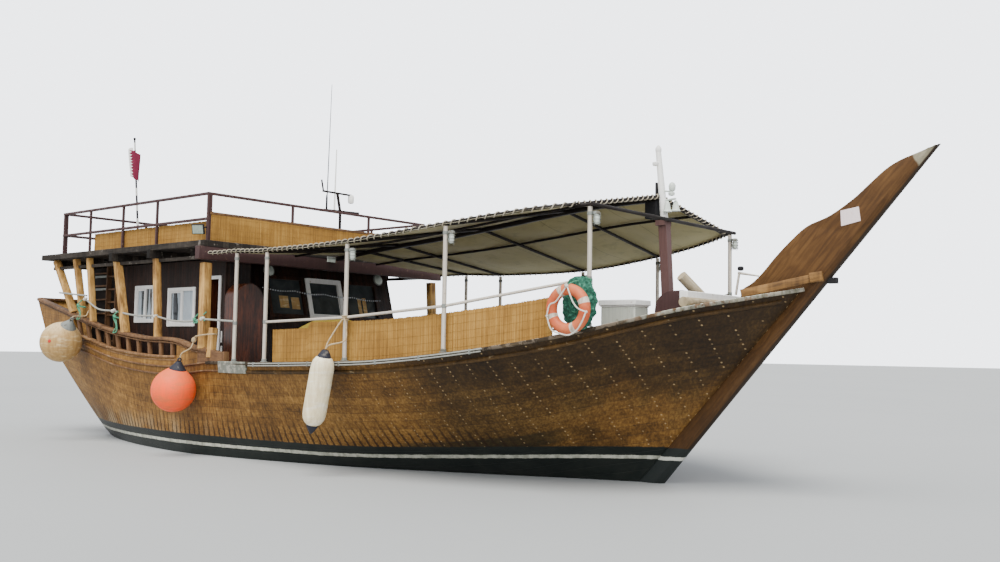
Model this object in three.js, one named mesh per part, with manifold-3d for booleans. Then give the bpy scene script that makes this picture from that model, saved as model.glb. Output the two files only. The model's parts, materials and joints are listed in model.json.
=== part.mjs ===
// A wooden dhow motor boat afloat: millimetres, X forward to the bow, Y to port, Z up,
// with the origin on the centreline at the waterline amidships.
import * as THREE from 'three';
import { mergeVertices } from 'three/addons/utils/BufferGeometryUtils.js';
import Module from 'manifold-3d';

const wasm = await Module();
wasm.setup();

// Driving dimensions of the hull
const SEAT = 0.5;                // gap left where two pieces touch
const STEM_FOOT = 5865;          // leading edge of the stem at the waterline
const STEM_SLOPE = 0.8675;       // run of the leading edge for each unit of rise
const RABBET_FOOT = 5460;        // end of the planking at the waterline
const RABBET_SLOPE = 0.916;
const TRANSOM_FOOT = -8300;      // transom at the waterline
const TRANSOM_RAKE = 0.6;        // run aft for each unit of rise
const TUCK_RAKE = 0.35;          // run forward for each unit of depth
const KEEL_HALF = 120;           // half the thickness of keel and stem
const KEEL_FOOT = -1900;
const BULWARK = 90;              // thickness of bulwark planking
const PLANK = 50;                // thickness of deck planking
const MAIN_DECK_DROP = 850;      // main deck below the gunwale
const FOREDECK_DROP = 270;       // foredeck below the gunwale
const POOP_DECK = 1620;          // top of the poop deck
const POOP_END = 0.43;           // station of the step between poop and main deck
const FORE_STEP = 0.852;         // station of the step up to the foredeck
const FOREDECK_END = 29 / 30;

// Driving dimensions of the cabin and the upper deck
const CABIN_HALF = 2450;
const CABIN_AFT = -7000;
const CABIN_FRONT = -2750;       // foot of the raked front wall
const FRONT_RAKE = 0.28;
const WALL = 60;
const BEAM_FOOT = 3900;          // underside of the roof beams
const ROOF_FOOT = 4060;
const ROOF_TOP = 4180;
const ROOF_AFT = -9000;
const ROOF_FORE = -2450;
const ROOF_HALF = 3300;
const RAIL_HALF = 3030;
const RAIL_TOP = 5170;
const RAIL_AFT = -8520;
const RAIL_FORE = -2720;

// Driving dimensions of the canopy
const MAST = { foot: 5960, x: 5840, head: 4330, half: 75 };
const CANOPY_SHEET = 25;

// Sheer and breadths by station: 0 at the transom, 1 at the end of the planking
const GUNWALE = { station: [0, 0.13, 0.214, 0.292, 0.365, 0.43, 0.5, 0.616, 0.734, 0.864, 0.944, 0.977, 1],
  height: [2330, 2080, 1820, 1700, 1680, 1770, 1775, 1820, 1905, 2230, 2760, 2940, 3070] };
const POOP_CAP = { station: [0, 0.12, 0.21, 0.29, 0.36, 0.4, 0.43],
  height: [3180, 2740, 2420, 2250, 2200, 2060, 1990] };
const TOP_BREADTH = { station: [0, 0.13, 0.26, 0.45, 0.616, 0.734, 0.864, 0.938, 0.977, 1],
  half: [2750, 3080, 3200, 3250, 3400, 3350, 2740, 1470, 680, 160] };
const WATER_BREADTH = { station: [0, 0.094, 0.239, 0.4, 0.638, 0.783, 0.949, 1],
  half: [1770, 2300, 2800, 2950, 2250, 1450, 420, 130] };
const BOTTOM = { station: [0, 0.045, 0.094, 0.145, 0.24, 0.4, 0.638, 0.85, 1],
  height: [-350, -480, -680, -950, -1250, -1450, -1500, -1420, -1200] };
const FULLNESS = { station: [0, 0.2, 0.45, 0.75, 1], power: [1.1, 1.8, 2.4, 1.4, 1] };

/** Smooth curve through a table's rows, with level ends. */
function along(rows, values, at) {
  const x = Math.min(Math.max(at, rows[0]), rows[rows.length - 1]);
  let i = 0;
  while (i < rows.length - 2 && x > rows[i + 1]) i += 1;
  const slope = (k) => {
    const a = Math.max(k - 1, 0);
    const b = Math.min(k + 1, rows.length - 1);
    return (values[b] - values[a]) / (rows[b] - rows[a]);
  };
  const h = rows[i + 1] - rows[i];
  const t = (x - rows[i]) / h;
  const t2 = t * t;
  const t3 = t2 * t;
  return (2 * t3 - 3 * t2 + 1) * values[i] + (t3 - 2 * t2 + t) * h * slope(i)
    + (3 * t2 - 2 * t3) * values[i + 1] + (t3 - t2) * h * slope(i + 1);
}

const gunwale = (t) => along(GUNWALE.station, GUNWALE.height, t);
const poopCap = (t) => along(POOP_CAP.station, POOP_CAP.height, t);
const poopSill = (t) => gunwale(t) + 210;
const foreEnd = (z) => RABBET_FOOT + RABBET_SLOPE * z;
const aftEnd = (z) => TRANSOM_FOOT - (z > 0 ? TRANSOM_RAKE : TUCK_RAKE) * z;
const stationX = (t, z) => aftEnd(z) + t * (foreEnd(z) - aftEnd(z));
const stationAt = (x, z) => (x - aftEnd(z)) / (foreEnd(z) - aftEnd(z));

/** Half breadth of the planking: straight topsides above the water, a power curve below. */
function halfBreadth(t, z) {
  const water = along(WATER_BREADTH.station, WATER_BREADTH.half, t);
  if (z >= 0) {
    const top = along(TOP_BREADTH.station, TOP_BREADTH.half, t);
    return water + (top - water) * Math.min(z / gunwale(t), 1) ** 0.85;
  }
  const keel = along(BOTTOM.station, BOTTOM.height, t);
  const power = along(FULLNESS.station, FULLNESS.power, t);
  return KEEL_HALF + (water - KEEL_HALF) * (1 - Math.min(z / keel, 1) ** power);
}

/** Top of the solid hull: under the poop deck, the main deck or the foredeck. */
function hullTop(t) {
  if (t < POOP_END) return POOP_DECK - PLANK;
  return gunwale(t) - (t > FORE_STEP ? FOREDECK_DROP : MAIN_DECK_DROP);
}

// Stations, with a pair close together where a deck steps up
const STEP = 0.0001;
const STATIONS = 30;
const stations = [];
for (let i = 0; i <= STATIONS; i += 1) stations.push(i / STATIONS);
const MAIN_START = POOP_END + STEP;
stations.push(POOP_END - STEP, MAIN_START, FORE_STEP - STEP, FORE_STEP + STEP);
stations.sort((a, b) => a - b);
const between = (a, b) => [a, ...stations.filter((t) => t > a + 2e-4 && t < b - 2e-4), b];

/** Closed body through rings of points, each ring with the same number of points. */
function loft(rings) {
  const n = rings[0].length;
  const points = rings.flat();
  const faces = [];
  for (let i = 0; i < rings.length - 1; i += 1) {
    for (let k = 0; k < n; k += 1) {
      const a = i * n + k;
      const b = i * n + (k + 1) % n;
      faces.push(a, b, b + n, a, b + n, a + n);
    }
  }
  const cap = (ring, offset, last) => {
    const [u, v] = flatAxes(ring);
    for (const [a, b, c] of triangulate(ring.map((p) => new THREE.Vector2(p[u], p[v])))) {
      if (last) faces.push(offset + a, offset + b, offset + c);
      else faces.push(offset + a, offset + c, offset + b);
    }
  };
  cap(rings[0], 0, false);
  cap(rings[rings.length - 1], (rings.length - 1) * n, true);
  const geometry = new THREE.BufferGeometry();
  geometry.setAttribute('position', new THREE.Float32BufferAttribute(points.flat(), 3));
  geometry.setIndex(faces);
  return facingOut(geometry);
}

/** The two axes that show a ring best: all but the one nearest to its normal. */
function flatAxes(ring) {
  const normal = [0, 0, 0];
  ring.forEach((p, i) => {
    const q = ring[(i + 1) % ring.length];
    for (let k = 0; k < 3; k += 1) {
      const u = (k + 1) % 3;
      const v = (k + 2) % 3;
      normal[k] += (p[u] - q[u]) * (p[v] + q[v]);
    }
  });
  const size = normal.map(Math.abs);
  const drop = size.indexOf(Math.max(...size));
  return [0, 1, 2].filter((k) => k !== drop);
}

/** Triangles of a flat outline, in its own order, that use also the points on a straight edge. */
function triangulate(flat) {
  const faces = THREE.ShapeUtils.triangulateShape(flat, []);
  const n = flat.length;
  const used = new Set(faces.flat());
  for (let start = 0; start < n; start += 1) {
    if (!used.has(start) || used.has((start + 1) % n)) continue;
    const run = [start];
    let end = (start + 1) % n;
    while (!used.has(end)) {
      run.push(end);
      end = (end + 1) % n;
    }
    run.push(end);
    const owner = faces.findIndex((face) => face.includes(start) && face.includes(end));
    const apex = faces[owner].find((i) => i !== start && i !== end);
    faces.splice(owner, 1, ...run.slice(1).map((point, i) => [run[i], point, apex]));
  }
  return faces.map((face) => face.sort((a, b) => a - b));
}

/** Turns the faces round if the body's volume comes out negative. */
function facingOut(geometry) {
  const p = geometry.attributes.position;
  const index = geometry.index.array;
  const corner = (i) => new THREE.Vector3().fromBufferAttribute(p, i);
  let volume = 0;
  for (let i = 0; i < index.length; i += 3) {
    volume += corner(index[i]).dot(corner(index[i + 1]).cross(corner(index[i + 2])));
  }
  if (volume < 0) {
    const turned = Array.from(index);
    for (let i = 0; i < turned.length; i += 3) {
      [turned[i + 1], turned[i + 2]] = [turned[i + 2], turned[i + 1]];
    }
    geometry.setIndex(turned);
  }
  return geometry;
}

/** A closed geometry as a solid that can be joined and cut. */
function solid(geometry) {
  const bare = geometry.clone();
  bare.deleteAttribute('normal');
  bare.deleteAttribute('uv');
  const merged = mergeVertices(bare, 1e-3);
  return new wasm.Manifold(new wasm.Mesh({
    numProp: 3,
    vertProperties: new Float32Array(merged.attributes.position.array),
    triVerts: new Uint32Array(merged.index.array),
  }));
}

function geometryOf(manifold) {
  const mesh = manifold.getMesh();
  const geometry = new THREE.BufferGeometry();
  geometry.setAttribute('position', new THREE.BufferAttribute(new Float32Array(mesh.vertProperties), 3));
  geometry.setIndex(new THREE.BufferAttribute(new Uint32Array(mesh.triVerts), 1));
  return geometry;
}

const join = (pieces) => geometryOf(pieces.map(solid).reduce((a, b) => a.add(b)));
const cut = (body, holes) => geometryOf(holes.map(solid).reduce((a, b) => a.subtract(b), solid(body)));

/** Box between two limits on each axis. */
function box([x0, x1], [y0, y1], [z0, z1]) {
  return new THREE.BoxGeometry(x1 - x0, y1 - y0, z1 - z0)
    .translate((x0 + x1) / 2, (y0 + y1) / 2, (z0 + z1) / 2);
}

/** Square bar between two points, its width level and its depth across that. */
function bar(from, to, width, depth = width) {
  const a = new THREE.Vector3(...from);
  const b = new THREE.Vector3(...to);
  const axis = b.clone().sub(a);
  const up = Math.abs(axis.clone().normalize().z) > 0.95 ? new THREE.Vector3(1, 0, 0)
    : new THREE.Vector3(0, 0, 1);
  const side = new THREE.Vector3().crossVectors(up, axis).normalize();
  const rise = new THREE.Vector3().crossVectors(axis.clone().normalize(), side);
  const turn = new THREE.Matrix4().makeBasis(side, axis.clone().normalize(), rise);
  if (turn.determinant() < 0) turn.makeBasis(side.negate(), axis.clone().normalize(), rise);
  return new THREE.BoxGeometry(width, axis.length(), depth).applyMatrix4(turn)
    .translate(...a.add(b).multiplyScalar(0.5).toArray());
}

/** Round rod between two points, tapered if two radii are given. */
function rod(from, to, radius, endRadius = radius, sides = 10) {
  const a = new THREE.Vector3(...from);
  const b = new THREE.Vector3(...to);
  const axis = b.clone().sub(a);
  const turn = new THREE.Quaternion().setFromUnitVectors(new THREE.Vector3(0, 1, 0), axis.clone().normalize());
  return new THREE.CylinderGeometry(endRadius, radius, axis.length(), sides).applyQuaternion(turn)
    .translate(...a.add(b).multiplyScalar(0.5).toArray());
}

/** Upright plate from an outline in X and Z, between two values of Y. */
function plate(outline, y0, y1) {
  const shape = new THREE.Shape(outline.map(([x, z]) => new THREE.Vector2(x, z)));
  return new THREE.ExtrudeGeometry(shape, { depth: y1 - y0, bevelEnabled: false })
    .rotateX(Math.PI / 2).translate(0, y1, 0);
}

const model = new THREE.Group();
const FINISH = {
  timber: [0x8a5a2c, 0, 0.5], paint: [0x3d1f1a, 0.1, 0.5], dark: [0x33231b, 0, 0.7],
  grey: [0x8d8a84, 0, 0.8], pale: [0xc9c9c2, 0.2, 0.5], mat: [0xb98a3e, 0, 0.9],
  canvas: [0x8c8763, 0, 0.9], white: [0xe8e6df, 0, 0.5], orange: [0xd9541e, 0, 0.5],
  cream: [0xd8cda8, 0, 0.6], bronze: [0x9a7b3c, 0.9, 0.4], flag: [0x6d1c33, 0, 0.9],
};

/** Adds a geometry to the model as a named mesh with a finish. */
function piece(name, geometry, finish) {
  const [color, metalness, roughness] = FINISH[finish];
  const mesh = new THREE.Mesh(geometry, new THREE.MeshStandardMaterial({ color, metalness, roughness }));
  mesh.name = name;
  model.add(mesh);
}

// Hull body: rings from the keel up one side, across the top and down the other side
const HULL_ROWS = 9;

function hullRing(t) {
  const foot = along(BOTTOM.station, BOTTOM.height, t);
  const top = hullTop(t);
  const side = [];
  for (let k = 0; k <= HULL_ROWS; k += 1) {
    const z = k < 5 ? foot * (1 - k / 5) : top * (k - 5) / (HULL_ROWS - 5);
    side.push([stationX(t, z), halfBreadth(t, z), z]);
  }
  const other = side.map(([x, y, z]) => [x, -y, z]).reverse();
  return [...side, ...other];
}

// Rudder and propeller
const STOCK_X = -7700;
const STOCK_RADIUS = 55;
const SOLE_TOP = -1750;
const SHAFT_Z = -1250;
const DEADWOOD_END = -6750;
const PROPELLER_X = -7000;
const PROPELLER_RADIUS = 420;

piece('hull', cut(loft(stations.map(hullRing)), [
  rod([STOCK_X, 0, -900], [STOCK_X, 0, -200], STOCK_RADIUS + 7, STOCK_RADIUS + 7, 24),
]), 'timber');

/** Underside of the hull on the centreline, at a given X. */
function hullFoot(x) {
  let t = 0.5;
  for (let i = 0; i < 30; i += 1) t = stationAt(x, along(BOTTOM.station, BOTTOM.height, t));
  return along(BOTTOM.station, BOTTOM.height, t);
}

const keelTop = stations.map((t) => {
  const z = along(BOTTOM.station, BOTTOM.height, t);
  return [stationX(t, z), z - SEAT];
}).filter(([x]) => x > DEADWOOD_END);
const scarf = [stationX(1, -1200), -1200];
piece('keel', plate([
  [DEADWOOD_END, hullFoot(DEADWOOD_END) - 2], ...keelTop,
  [scarf[0] - 60, -1470], [DEADWOOD_END, KEEL_FOOT], [-8000, KEEL_FOOT], [-8000, SOLE_TOP],
  [DEADWOOD_END, SOLE_TOP],
], -KEEL_HALF, KEEL_HALF), 'timber');

/** Height of a line of [x, z] points at a given X, straight between them. */
function lineAt(line, x) {
  let i = 0;
  while (i < line.length - 2 && x > line[i + 1][0]) i += 1;
  const [[x0, z0], [x1, z1]] = [line[i], line[i + 1]];
  return z0 + (z1 - z0) * (x - x0) / (x1 - x0);
}

// Stem: raked board from the forefoot to the tip, with a knee that stands on the foredeck
const stemLead = (z) => STEM_FOOT + STEM_SLOPE * z;
const KNEE_AFT = 7300;
const hullTopLine = stations.map((t) => [stationX(t, hullTop(t)), hullTop(t)]);
const STEM_BACK = [[KNEE_AFT, 3110], [7480, 3230], [7650, 3380], [8120, 3860], [8380, 4060], [8720, 4190],
  [9070, 4400], [9550, 4780], [9960, 4885]];
piece('stem', plate([
  [scarf[0] + SEAT, scarf[1]], [foreEnd(hullTop(1) + SEAT) + SEAT, hullTop(1) + SEAT],
  [KNEE_AFT, lineAt(hullTopLine, KNEE_AFT) + SEAT],
  ...STEM_BACK, [10289, 5100], [stemLead(-1500) - 20, -1500], [scarf[0] - 60 + SEAT, -1470],
], -KEEL_HALF, KEEL_HALF), 'timber');

const BLADE = [[-8350, -1560], [-8330, -640], [-7450, -640], [-7450, -1700], [-8250, -1700]];
piece('rudder', join([
  plate(BLADE, -35, 35),
  rod([STOCK_X, 0, SOLE_TOP + SEAT], [STOCK_X, 0, -300], STOCK_RADIUS, STOCK_RADIUS, 24),
]), 'bronze');

piece('stern_tube', rod([DEADWOOD_END - SEAT, 0, SHAFT_Z], [DEADWOOD_END - 120, 0, SHAFT_Z], 90), 'bronze');
const blades = [0, 1, 2, 3].map((i) => new THREE.SphereGeometry(1, 12, 6).scale(18, 110, 175)
  .rotateZ(0.5).translate(0, 0, PROPELLER_RADIUS - 175).rotateX(i * Math.PI / 2)
  .translate(PROPELLER_X, 0, SHAFT_Z));
piece('propeller', join([
  rod([DEADWOOD_END - 120 - SEAT, 0, SHAFT_Z], [PROPELLER_X - 130, 0, SHAFT_Z], 90, 60), ...blades,
]), 'bronze');

/** The stretch of such a line between two values of X, raised by a seat's gap. */
function footLine(line, x0, x1) {
  const inner = line.filter(([x]) => x > x0 && x < x1);
  return [[x0, lineAt(line, x0)], ...inner, [x1, lineAt(line, x1)]].map(([x, z]) => [x, z + SEAT]);
}

/** Joins a link that reaches into a neighbour, and cuts it back to a small gap from it. */
function hung(body, link, neighbour, shift) {
  return cut(join([body, link]), [neighbour.clone().translate(...shift)]);
}

/** Deck planking laid on the hull's top between the bulwarks. */
function deck(from, to) {
  const ring = (t) => {
    const foot = hullTop(t) + SEAT;
    const half = halfBreadth(t, foot) - BULWARK - 8;
    const x = stationX(t, foot);
    return [[x, -half, foot], [x, half, foot], [x, half, foot + PLANK], [x, -half, foot + PLANK]];
  };
  return loft(between(from, to).map(ring));
}

piece('main_deck', deck(MAIN_START + 0.0024, FORE_STEP - 3 * STEP), 'grey');
piece('foredeck', deck(FORE_STEP + STEP, FOREDECK_END), 'grey');
piece('poop_deck', deck(0.006, POOP_END - 2 * STEP), 'grey');

/** Bulwark planking on one side, with a rubbing strake standing out along it. */
function planking(side, from, to, top, strake) {
  const ring = (t) => {
    const foot = hullTop(t) + SEAT;
    const head = top(t);
    const middle = strake(t);
    const point = (z, out) => [stationX(t, z), side * (halfBreadth(t, z) + out), z];
    const inner = (z) => [stationX(t, z), side * Math.max(halfBreadth(t, z) - BULWARK, KEEL_HALF + 2), z];
    return [point(foot, 0), point(middle - 60, 0), point(middle - 45, 55), point(middle + 45, 55),
      point(middle + 60, 0), point(head, 0), inner(head), inner(foot)];
  };
  return loft(between(from, to).map(ring));
}

const foredeckLine = between(FORE_STEP + STEP, FOREDECK_END).map((t) => {
  const foot = hullTop(t) + SEAT;
  return [stationX(t, foot), foot + PLANK];
});

const WAYS = { starboard: -1, port: 1 };
const SILL_START = 0.115;
const SILL_END = 0.365;
const poopStations = [...between(0.004, POOP_END - STEP), SILL_START, SILL_START + STEP,
  SILL_END - STEP, SILL_END].sort((a, b) => a - b);
const poopTop = (t) => (t > SILL_START && t < SILL_END ? poopSill(t) : poopCap(t));

const poopRails = {};
const gunwaleCaps = [];
for (const [name, side] of Object.entries(WAYS)) {
  piece(`bulwark_${name}`, planking(side, MAIN_START, 1, gunwale, (t) => gunwale(t) - 120), 'timber');
  const ring = (t) => {
    const foot = hullTop(t) + SEAT;
    const head = poopTop(t);
    const middle = gunwale(t) + 20;
    const point = (z, out) => [stationX(t, z), side * (halfBreadth(t, z) + out), z];
    return [point(foot, 0), point(middle - 60, 0), point(middle - 45, 60), point(middle + 45, 60),
      point(middle + 60, 0), point(head, 0), point(head, -BULWARK), point(foot, -BULWARK)];
  };
  piece(`poop_side_${name}`, loft(poopStations.map(ring)), 'timber');

  // Rail on the poop: a cap carried by stanchions where the side is open
  const cap = poopStations.map((t) => {
    const z = poopCap(t) + SEAT;
    const x = stationX(t, z);
    const y = halfBreadth(t, z);
    return [[x, side * (y - 125), z], [x, side * (y + 45), z], [x, side * (y + 45), z + 70],
      [x, side * (y - 125), z + 70]];
  });
  const stanchions = Array.from({ length: 10 }, (_, i) => {
    const t = SILL_START + 0.012 + i * (SILL_END - SILL_START - 0.024) / 9;
    const foot = poopSill(t) + 24;
    const head = poopCap(t) + 20;
    const y = (z) => side * (halfBreadth(t, z) - 45);
    return bar([stationX(t, foot), y(foot), foot], [stationX(t, head), y(head), head], 80, 80);
  });
  poopRails[name] = join([loft(cap), ...stanchions]);
  piece(`poop_rail_${name}`, poopRails[name], 'grey');

  const gunwaleCap = between(MAIN_START, 1).map((t) => {
    const z = gunwale(t) + SEAT;
    const x = stationX(t, z);
    const y = halfBreadth(t, z);
    const inner = Math.max(y - 150, KEEL_HALF + 4);
    return [[x, side * inner, z], [x, side * (y + 50), z], [x, side * (y + 50), z + 60],
      [x, side * inner, z + 60]];
  });
  gunwaleCaps.push(loft(gunwaleCap));
  piece(`gunwale_${name}`, gunwaleCaps[gunwaleCaps.length - 1], 'timber');
}

// Stern bulwark: raked board across the transom between the poop sides
const sternBoard = [0, 1].map((k) => {
  const foot = POOP_DECK + 10;
  const head = poopCap(0) - 20;
  const y = (k === 0 ? -1 : 1) * (halfBreadth(0.004, foot) - BULWARK - 12);
  return [[aftEnd(foot) + 10, y, foot], [aftEnd(head) + 10, y, head],
    [aftEnd(head) + 90, y, head], [aftEnd(foot) + 90, y, foot]];
});
piece('stern_bulwark', loft(sternBoard), 'timber');

// Cabin on the poop: side walls with windows and a doorway, aft wall, and a front that is raked
// but for an upright corner beside the doorway
const WALL_FOOT = POOP_DECK + 2 * SEAT;
const WALL_HEAD = BEAM_FOOT - SEAT;
const frontX = (z) => CABIN_FRONT - FRONT_RAKE * (z - POOP_DECK);
const WINDOWS = [{ x: [-6250, -5520], z: [2650, 3400] }, { x: [-4940, -3980], z: [2560, 3320] }];
const DOORWAY = [-3700, -3080];
const DOOR_HEAD = 3520;
const CORNER = { x: -2920, z: POOP_DECK + (CABIN_FRONT + 2920) / FRONT_RAKE, y: -1840 };
const frontEdge = {
  starboard: [[frontX(WALL_FOOT), WALL_FOOT], [CORNER.x, CORNER.z], [CORNER.x, WALL_HEAD]],
  port: [[frontX(WALL_FOOT), WALL_FOOT], [frontX(WALL_HEAD), WALL_HEAD]],
};

for (const [name, side] of Object.entries(WAYS)) {
  const faces = [side * CABIN_HALF, side * (CABIN_HALF - WALL)].sort((a, b) => a - b);
  const deep = [faces[0] - 50, faces[1] + 50];
  const holes = WINDOWS.map(({ x, z }) => box(x, deep, z));
  if (side < 0) holes.push(box(DOORWAY, deep, [WALL_FOOT - 50, DOOR_HEAD]));
  const outline = [[CABIN_AFT, WALL_FOOT], ...frontEdge[name], [CABIN_AFT, WALL_HEAD]];
  piece(`cabin_wall_${name}`, cut(plate(outline, ...faces), holes), 'dark');
}
const INSIDE = CABIN_HALF - WALL - SEAT;
piece('cabin_wall_aft', cut(box([CABIN_AFT, CABIN_AFT + WALL], [-INSIDE, INSIDE], [WALL_FOOT, WALL_HEAD]), [
  box([CABIN_AFT - 50, CABIN_AFT + 150], [-400, 300], [2500, 3300]),
]), 'dark');
const wallBehind = (edge) => [...edge, ...edge.map(([x, z]) => [x - WALL, z]).reverse()];
const PANES = [-1170, -80, 1010];
piece('cabin_front', join([
  cut(plate(wallBehind(frontEdge.port), CORNER.y - WALL, INSIDE), PANES.map((y) => box([-4000, -2000],
    [y, y + 970], [2800, 3640]))),
  plate(wallBehind(frontEdge.starboard), -INSIDE, CORNER.y),
  plate([[CORNER.x - 5, CORNER.z - 40], [CORNER.x - 5, WALL_HEAD], [frontX(WALL_HEAD) - 30, WALL_HEAD]],
    CORNER.y - WALL + 5, CORNER.y - 5),
]), 'dark');

const HINGE_X = DOORWAY[0];
const BARREL = 5;
const HINGE_Y = -(CABIN_HALF - WALL - BARREL - SEAT);
piece('cabin_door', join([
  box([HINGE_X - 35, HINGE_X - 1], [HINGE_Y + 3, HINGE_Y + 585], [WALL_FOOT + 10, DOOR_HEAD + 30]),
  rod([HINGE_X, HINGE_Y, WALL_FOOT + 200], [HINGE_X, HINGE_Y, DOOR_HEAD - 200], BARREL),
]), 'dark');

// Helm: console under the front windows and a spoked wheel on its aft face
const CONSOLE = { aft: -3450, fore: -3100, half: 330, top: 2600 };
piece('helm_console', box([CONSOLE.aft, CONSOLE.fore], [-CONSOLE.half, CONSOLE.half], [WALL_FOOT, CONSOLE.top]),
  'dark');
const WHEEL = { x: CONSOLE.aft - 110, z: 2450, radius: 330 };
const spokes = Array.from({ length: 6 }, (_, i) => rod([0, 0, -WHEEL.radius - 70], [0, 0, 0], 14, 18, 6)
  .rotateX(i * Math.PI / 3).translate(WHEEL.x, 0, WHEEL.z));
piece('helm_wheel', join([
  new THREE.TorusGeometry(WHEEL.radius, 22, 6, 24).rotateY(Math.PI / 2).translate(WHEEL.x, 0, WHEEL.z),
  rod([WHEEL.x - 50, 0, WHEEL.z], [CONSOLE.aft - SEAT, 0, WHEEL.z], 55, 55, 16), ...spokes,
]), 'bronze');

// Locker with a half-round top, in front of the cabin on the starboard side
const LOCKER = { from: -2650, to: -2000, shoulder: 3060, fore: -2250, aft: -2640 };
const lockerArc = [];
for (let i = 0; i <= 12; i += 1) {
  const turn = Math.PI * i / 12;
  const middle = (LOCKER.from + LOCKER.to) / 2;
  const radius = (LOCKER.to - LOCKER.from) / 2;
  lockerArc.push([middle + radius * Math.cos(turn), LOCKER.shoulder + radius * Math.sin(turn)]);
}
piece('locker', plate([[LOCKER.from, WALL_FOOT], [LOCKER.to, WALL_FOOT], ...lockerArc], 0, LOCKER.fore - LOCKER.aft)
  .rotateZ(Math.PI / 2).translate(LOCKER.fore, 0, 0), 'dark');

// Upper deck with its cross beams, and the heavier painted beam at its front
// Beams: columns are X and half length; two reach out beyond the deck's edge
const BEAMS = [[-8700, 3000], [-7250, 3000], [-5810, 3360], [-4325, 3360], [-3300, 3000]];
piece('upper_deck', join([
  box([ROOF_AFT, ROOF_FORE], [-ROOF_HALF, ROOF_HALF], [ROOF_FOOT, ROOF_TOP]),
  ...BEAMS.map(([x, half]) => box([x - 60, x + 60], [-half, half], [BEAM_FOOT, ROOF_FOOT + 20])),
]), 'grey');
const FRONT_BEAM = { aft: -2600, fore: -2460, half: 3400, foot: BEAM_FOOT - 100 };
piece('front_beam', box([FRONT_BEAM.aft, FRONT_BEAM.fore], [-FRONT_BEAM.half, FRONT_BEAM.half],
  [FRONT_BEAM.foot, ROOF_FOOT - SEAT]), 'paint');

// Posts that carry the upper deck: columns are X at the head, X at the foot and thickness
const POSTS = [[-8550, -7970, 120], [-7630, -7430, 110], [-7050, -6890, 100], [-5890, -5420, 130],
  [-4340, -4130, 110], [-2575, -2500, 160]];
for (const [name, side] of Object.entries(WAYS)) {
  const carlin = box([-8740, FRONT_BEAM.aft - SEAT], [-3200, -3080], [BEAM_FOOT - 120, BEAM_FOOT - SEAT]);
  const rows = POSTS.map(([head, foot, thick]) => {
    const t = stationAt(foot, 2500);
    const rest = poopCap(t) + 70 - 32;
    return bar([head, -3140, BEAM_FOOT - 60], [foot, -(halfBreadth(t, rest) - 40), rest], thick, thick);
  });
  const posts = cut(join([carlin, ...rows]), [
    box([FRONT_BEAM.aft - SEAT, 0], [-4000, 0], [FRONT_BEAM.foot - SEAT, BEAM_FOOT + 100]),
    poopRails.starboard.clone().translate(0, 0, 0.7),
  ]);
  if (side > 0) posts.scale(1, -1, 1);
  piece(`roof_posts_${name}`, side > 0 ? facingOut(posts) : posts, 'timber');
}

// Rails of the upper deck: square posts with a top rail and a middle rail
const TUBE = 55;
const MID_RAIL = 4640;

function rail(from, to, at, offset, inner) {
  const place = (x, y, z) => (at === 'x' ? [x, y, z] : [y, x, z]);
  const line = (z) => bar(place(from, offset, z), place(to, offset, z), TUBE, TUBE);
  const posts = [from + TUBE / 2, ...inner, to - TUBE / 2].map((x) => bar(
    place(x, offset, ROOF_TOP + SEAT), place(x, offset, RAIL_TOP - 10), TUBE, TUBE));
  return join([line(RAIL_TOP - TUBE / 2), line(MID_RAIL), ...posts]);
}

const SIDE_POSTS = [-7307, -5916, -4579];
const END_POSTS = [-939, 1243];
piece('upper_rail_starboard', rail(RAIL_AFT, RAIL_FORE, 'x', -RAIL_HALF, SIDE_POSTS), 'paint');
piece('upper_rail_port', rail(RAIL_AFT, RAIL_FORE, 'x', RAIL_HALF, SIDE_POSTS), 'paint');
const ACROSS = RAIL_HALF - TUBE / 2 - SEAT;
piece('upper_rail_forward', rail(-ACROSS, ACROSS, 'y', RAIL_FORE - TUBE / 2, END_POSTS), 'paint');
piece('upper_rail_aft', rail(-ACROSS, ACROSS, 'y', RAIL_AFT + TUBE / 2, END_POSTS), 'paint');

// Ladder from the poop deck through a gap beside the upper deck's edge
const LADDER = { x: -6900, half: 190, y: -2650 };
const rungs = Array.from({ length: 7 }, (_, i) => {
  const z = 1900 + i * 290;
  return box([LADDER.x - LADDER.half, LADDER.x + LADDER.half], [LADDER.y - 35, LADDER.y + 35], [z, z + 35]);
});
piece('ladder', join([
  ...[-1, 1].map((k) => box([LADDER.x + k * LADDER.half - 20, LADDER.x + k * LADDER.half + 20],
    [LADDER.y - 55, LADDER.y + 55], [WALL_FOOT, BEAM_FOOT - SEAT])),
  ...rungs,
]), 'timber');

// Reed mats, plain boards here
const MAT = 30;
piece('mat_upper_starboard', box([-7200, RAIL_FORE - 60], [-RAIL_HALF + 30, -RAIL_HALF + 30 + MAT],
  [ROOF_TOP + SEAT, MID_RAIL - 30]), 'mat');
piece('mat_upper_forward', box([RAIL_FORE + 1, RAIL_FORE + 1 + MAT], [-RAIL_HALF + 40, RAIL_HALF - 900],
  [ROOF_TOP + SEAT, MID_RAIL + 110]), 'mat');
const MAT_STEP = stationAt(700, 1825);
const capLine = between(MAIN_START, 1).map((t) => [stationX(t, gunwale(t) + SEAT), gunwale(t) + SEAT + 60]);
const matRing = (t) => {
  const x = stationX(t, gunwale(t) + SEAT);
  const z = lineAt(capLine, x) + SEAT;
  const y = -(halfBreadth(t, z) - 135);
  const top = z + (t < MAT_STEP ? 590 : 690 - 0.017 * (x - 700));
  return [[x, y, z], [x, y - MAT, z], [x, y - MAT, top], [x, y, top]];
};
const matStations = [...between(0.547, MAT_STEP - 3 * STEP), ...between(MAT_STEP + 3 * STEP, 0.876)]
  .filter((t) => t !== FORE_STEP + STEP);
piece('mat_lower_starboard', loft(matStations.map(matRing)), 'mat');

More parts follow.
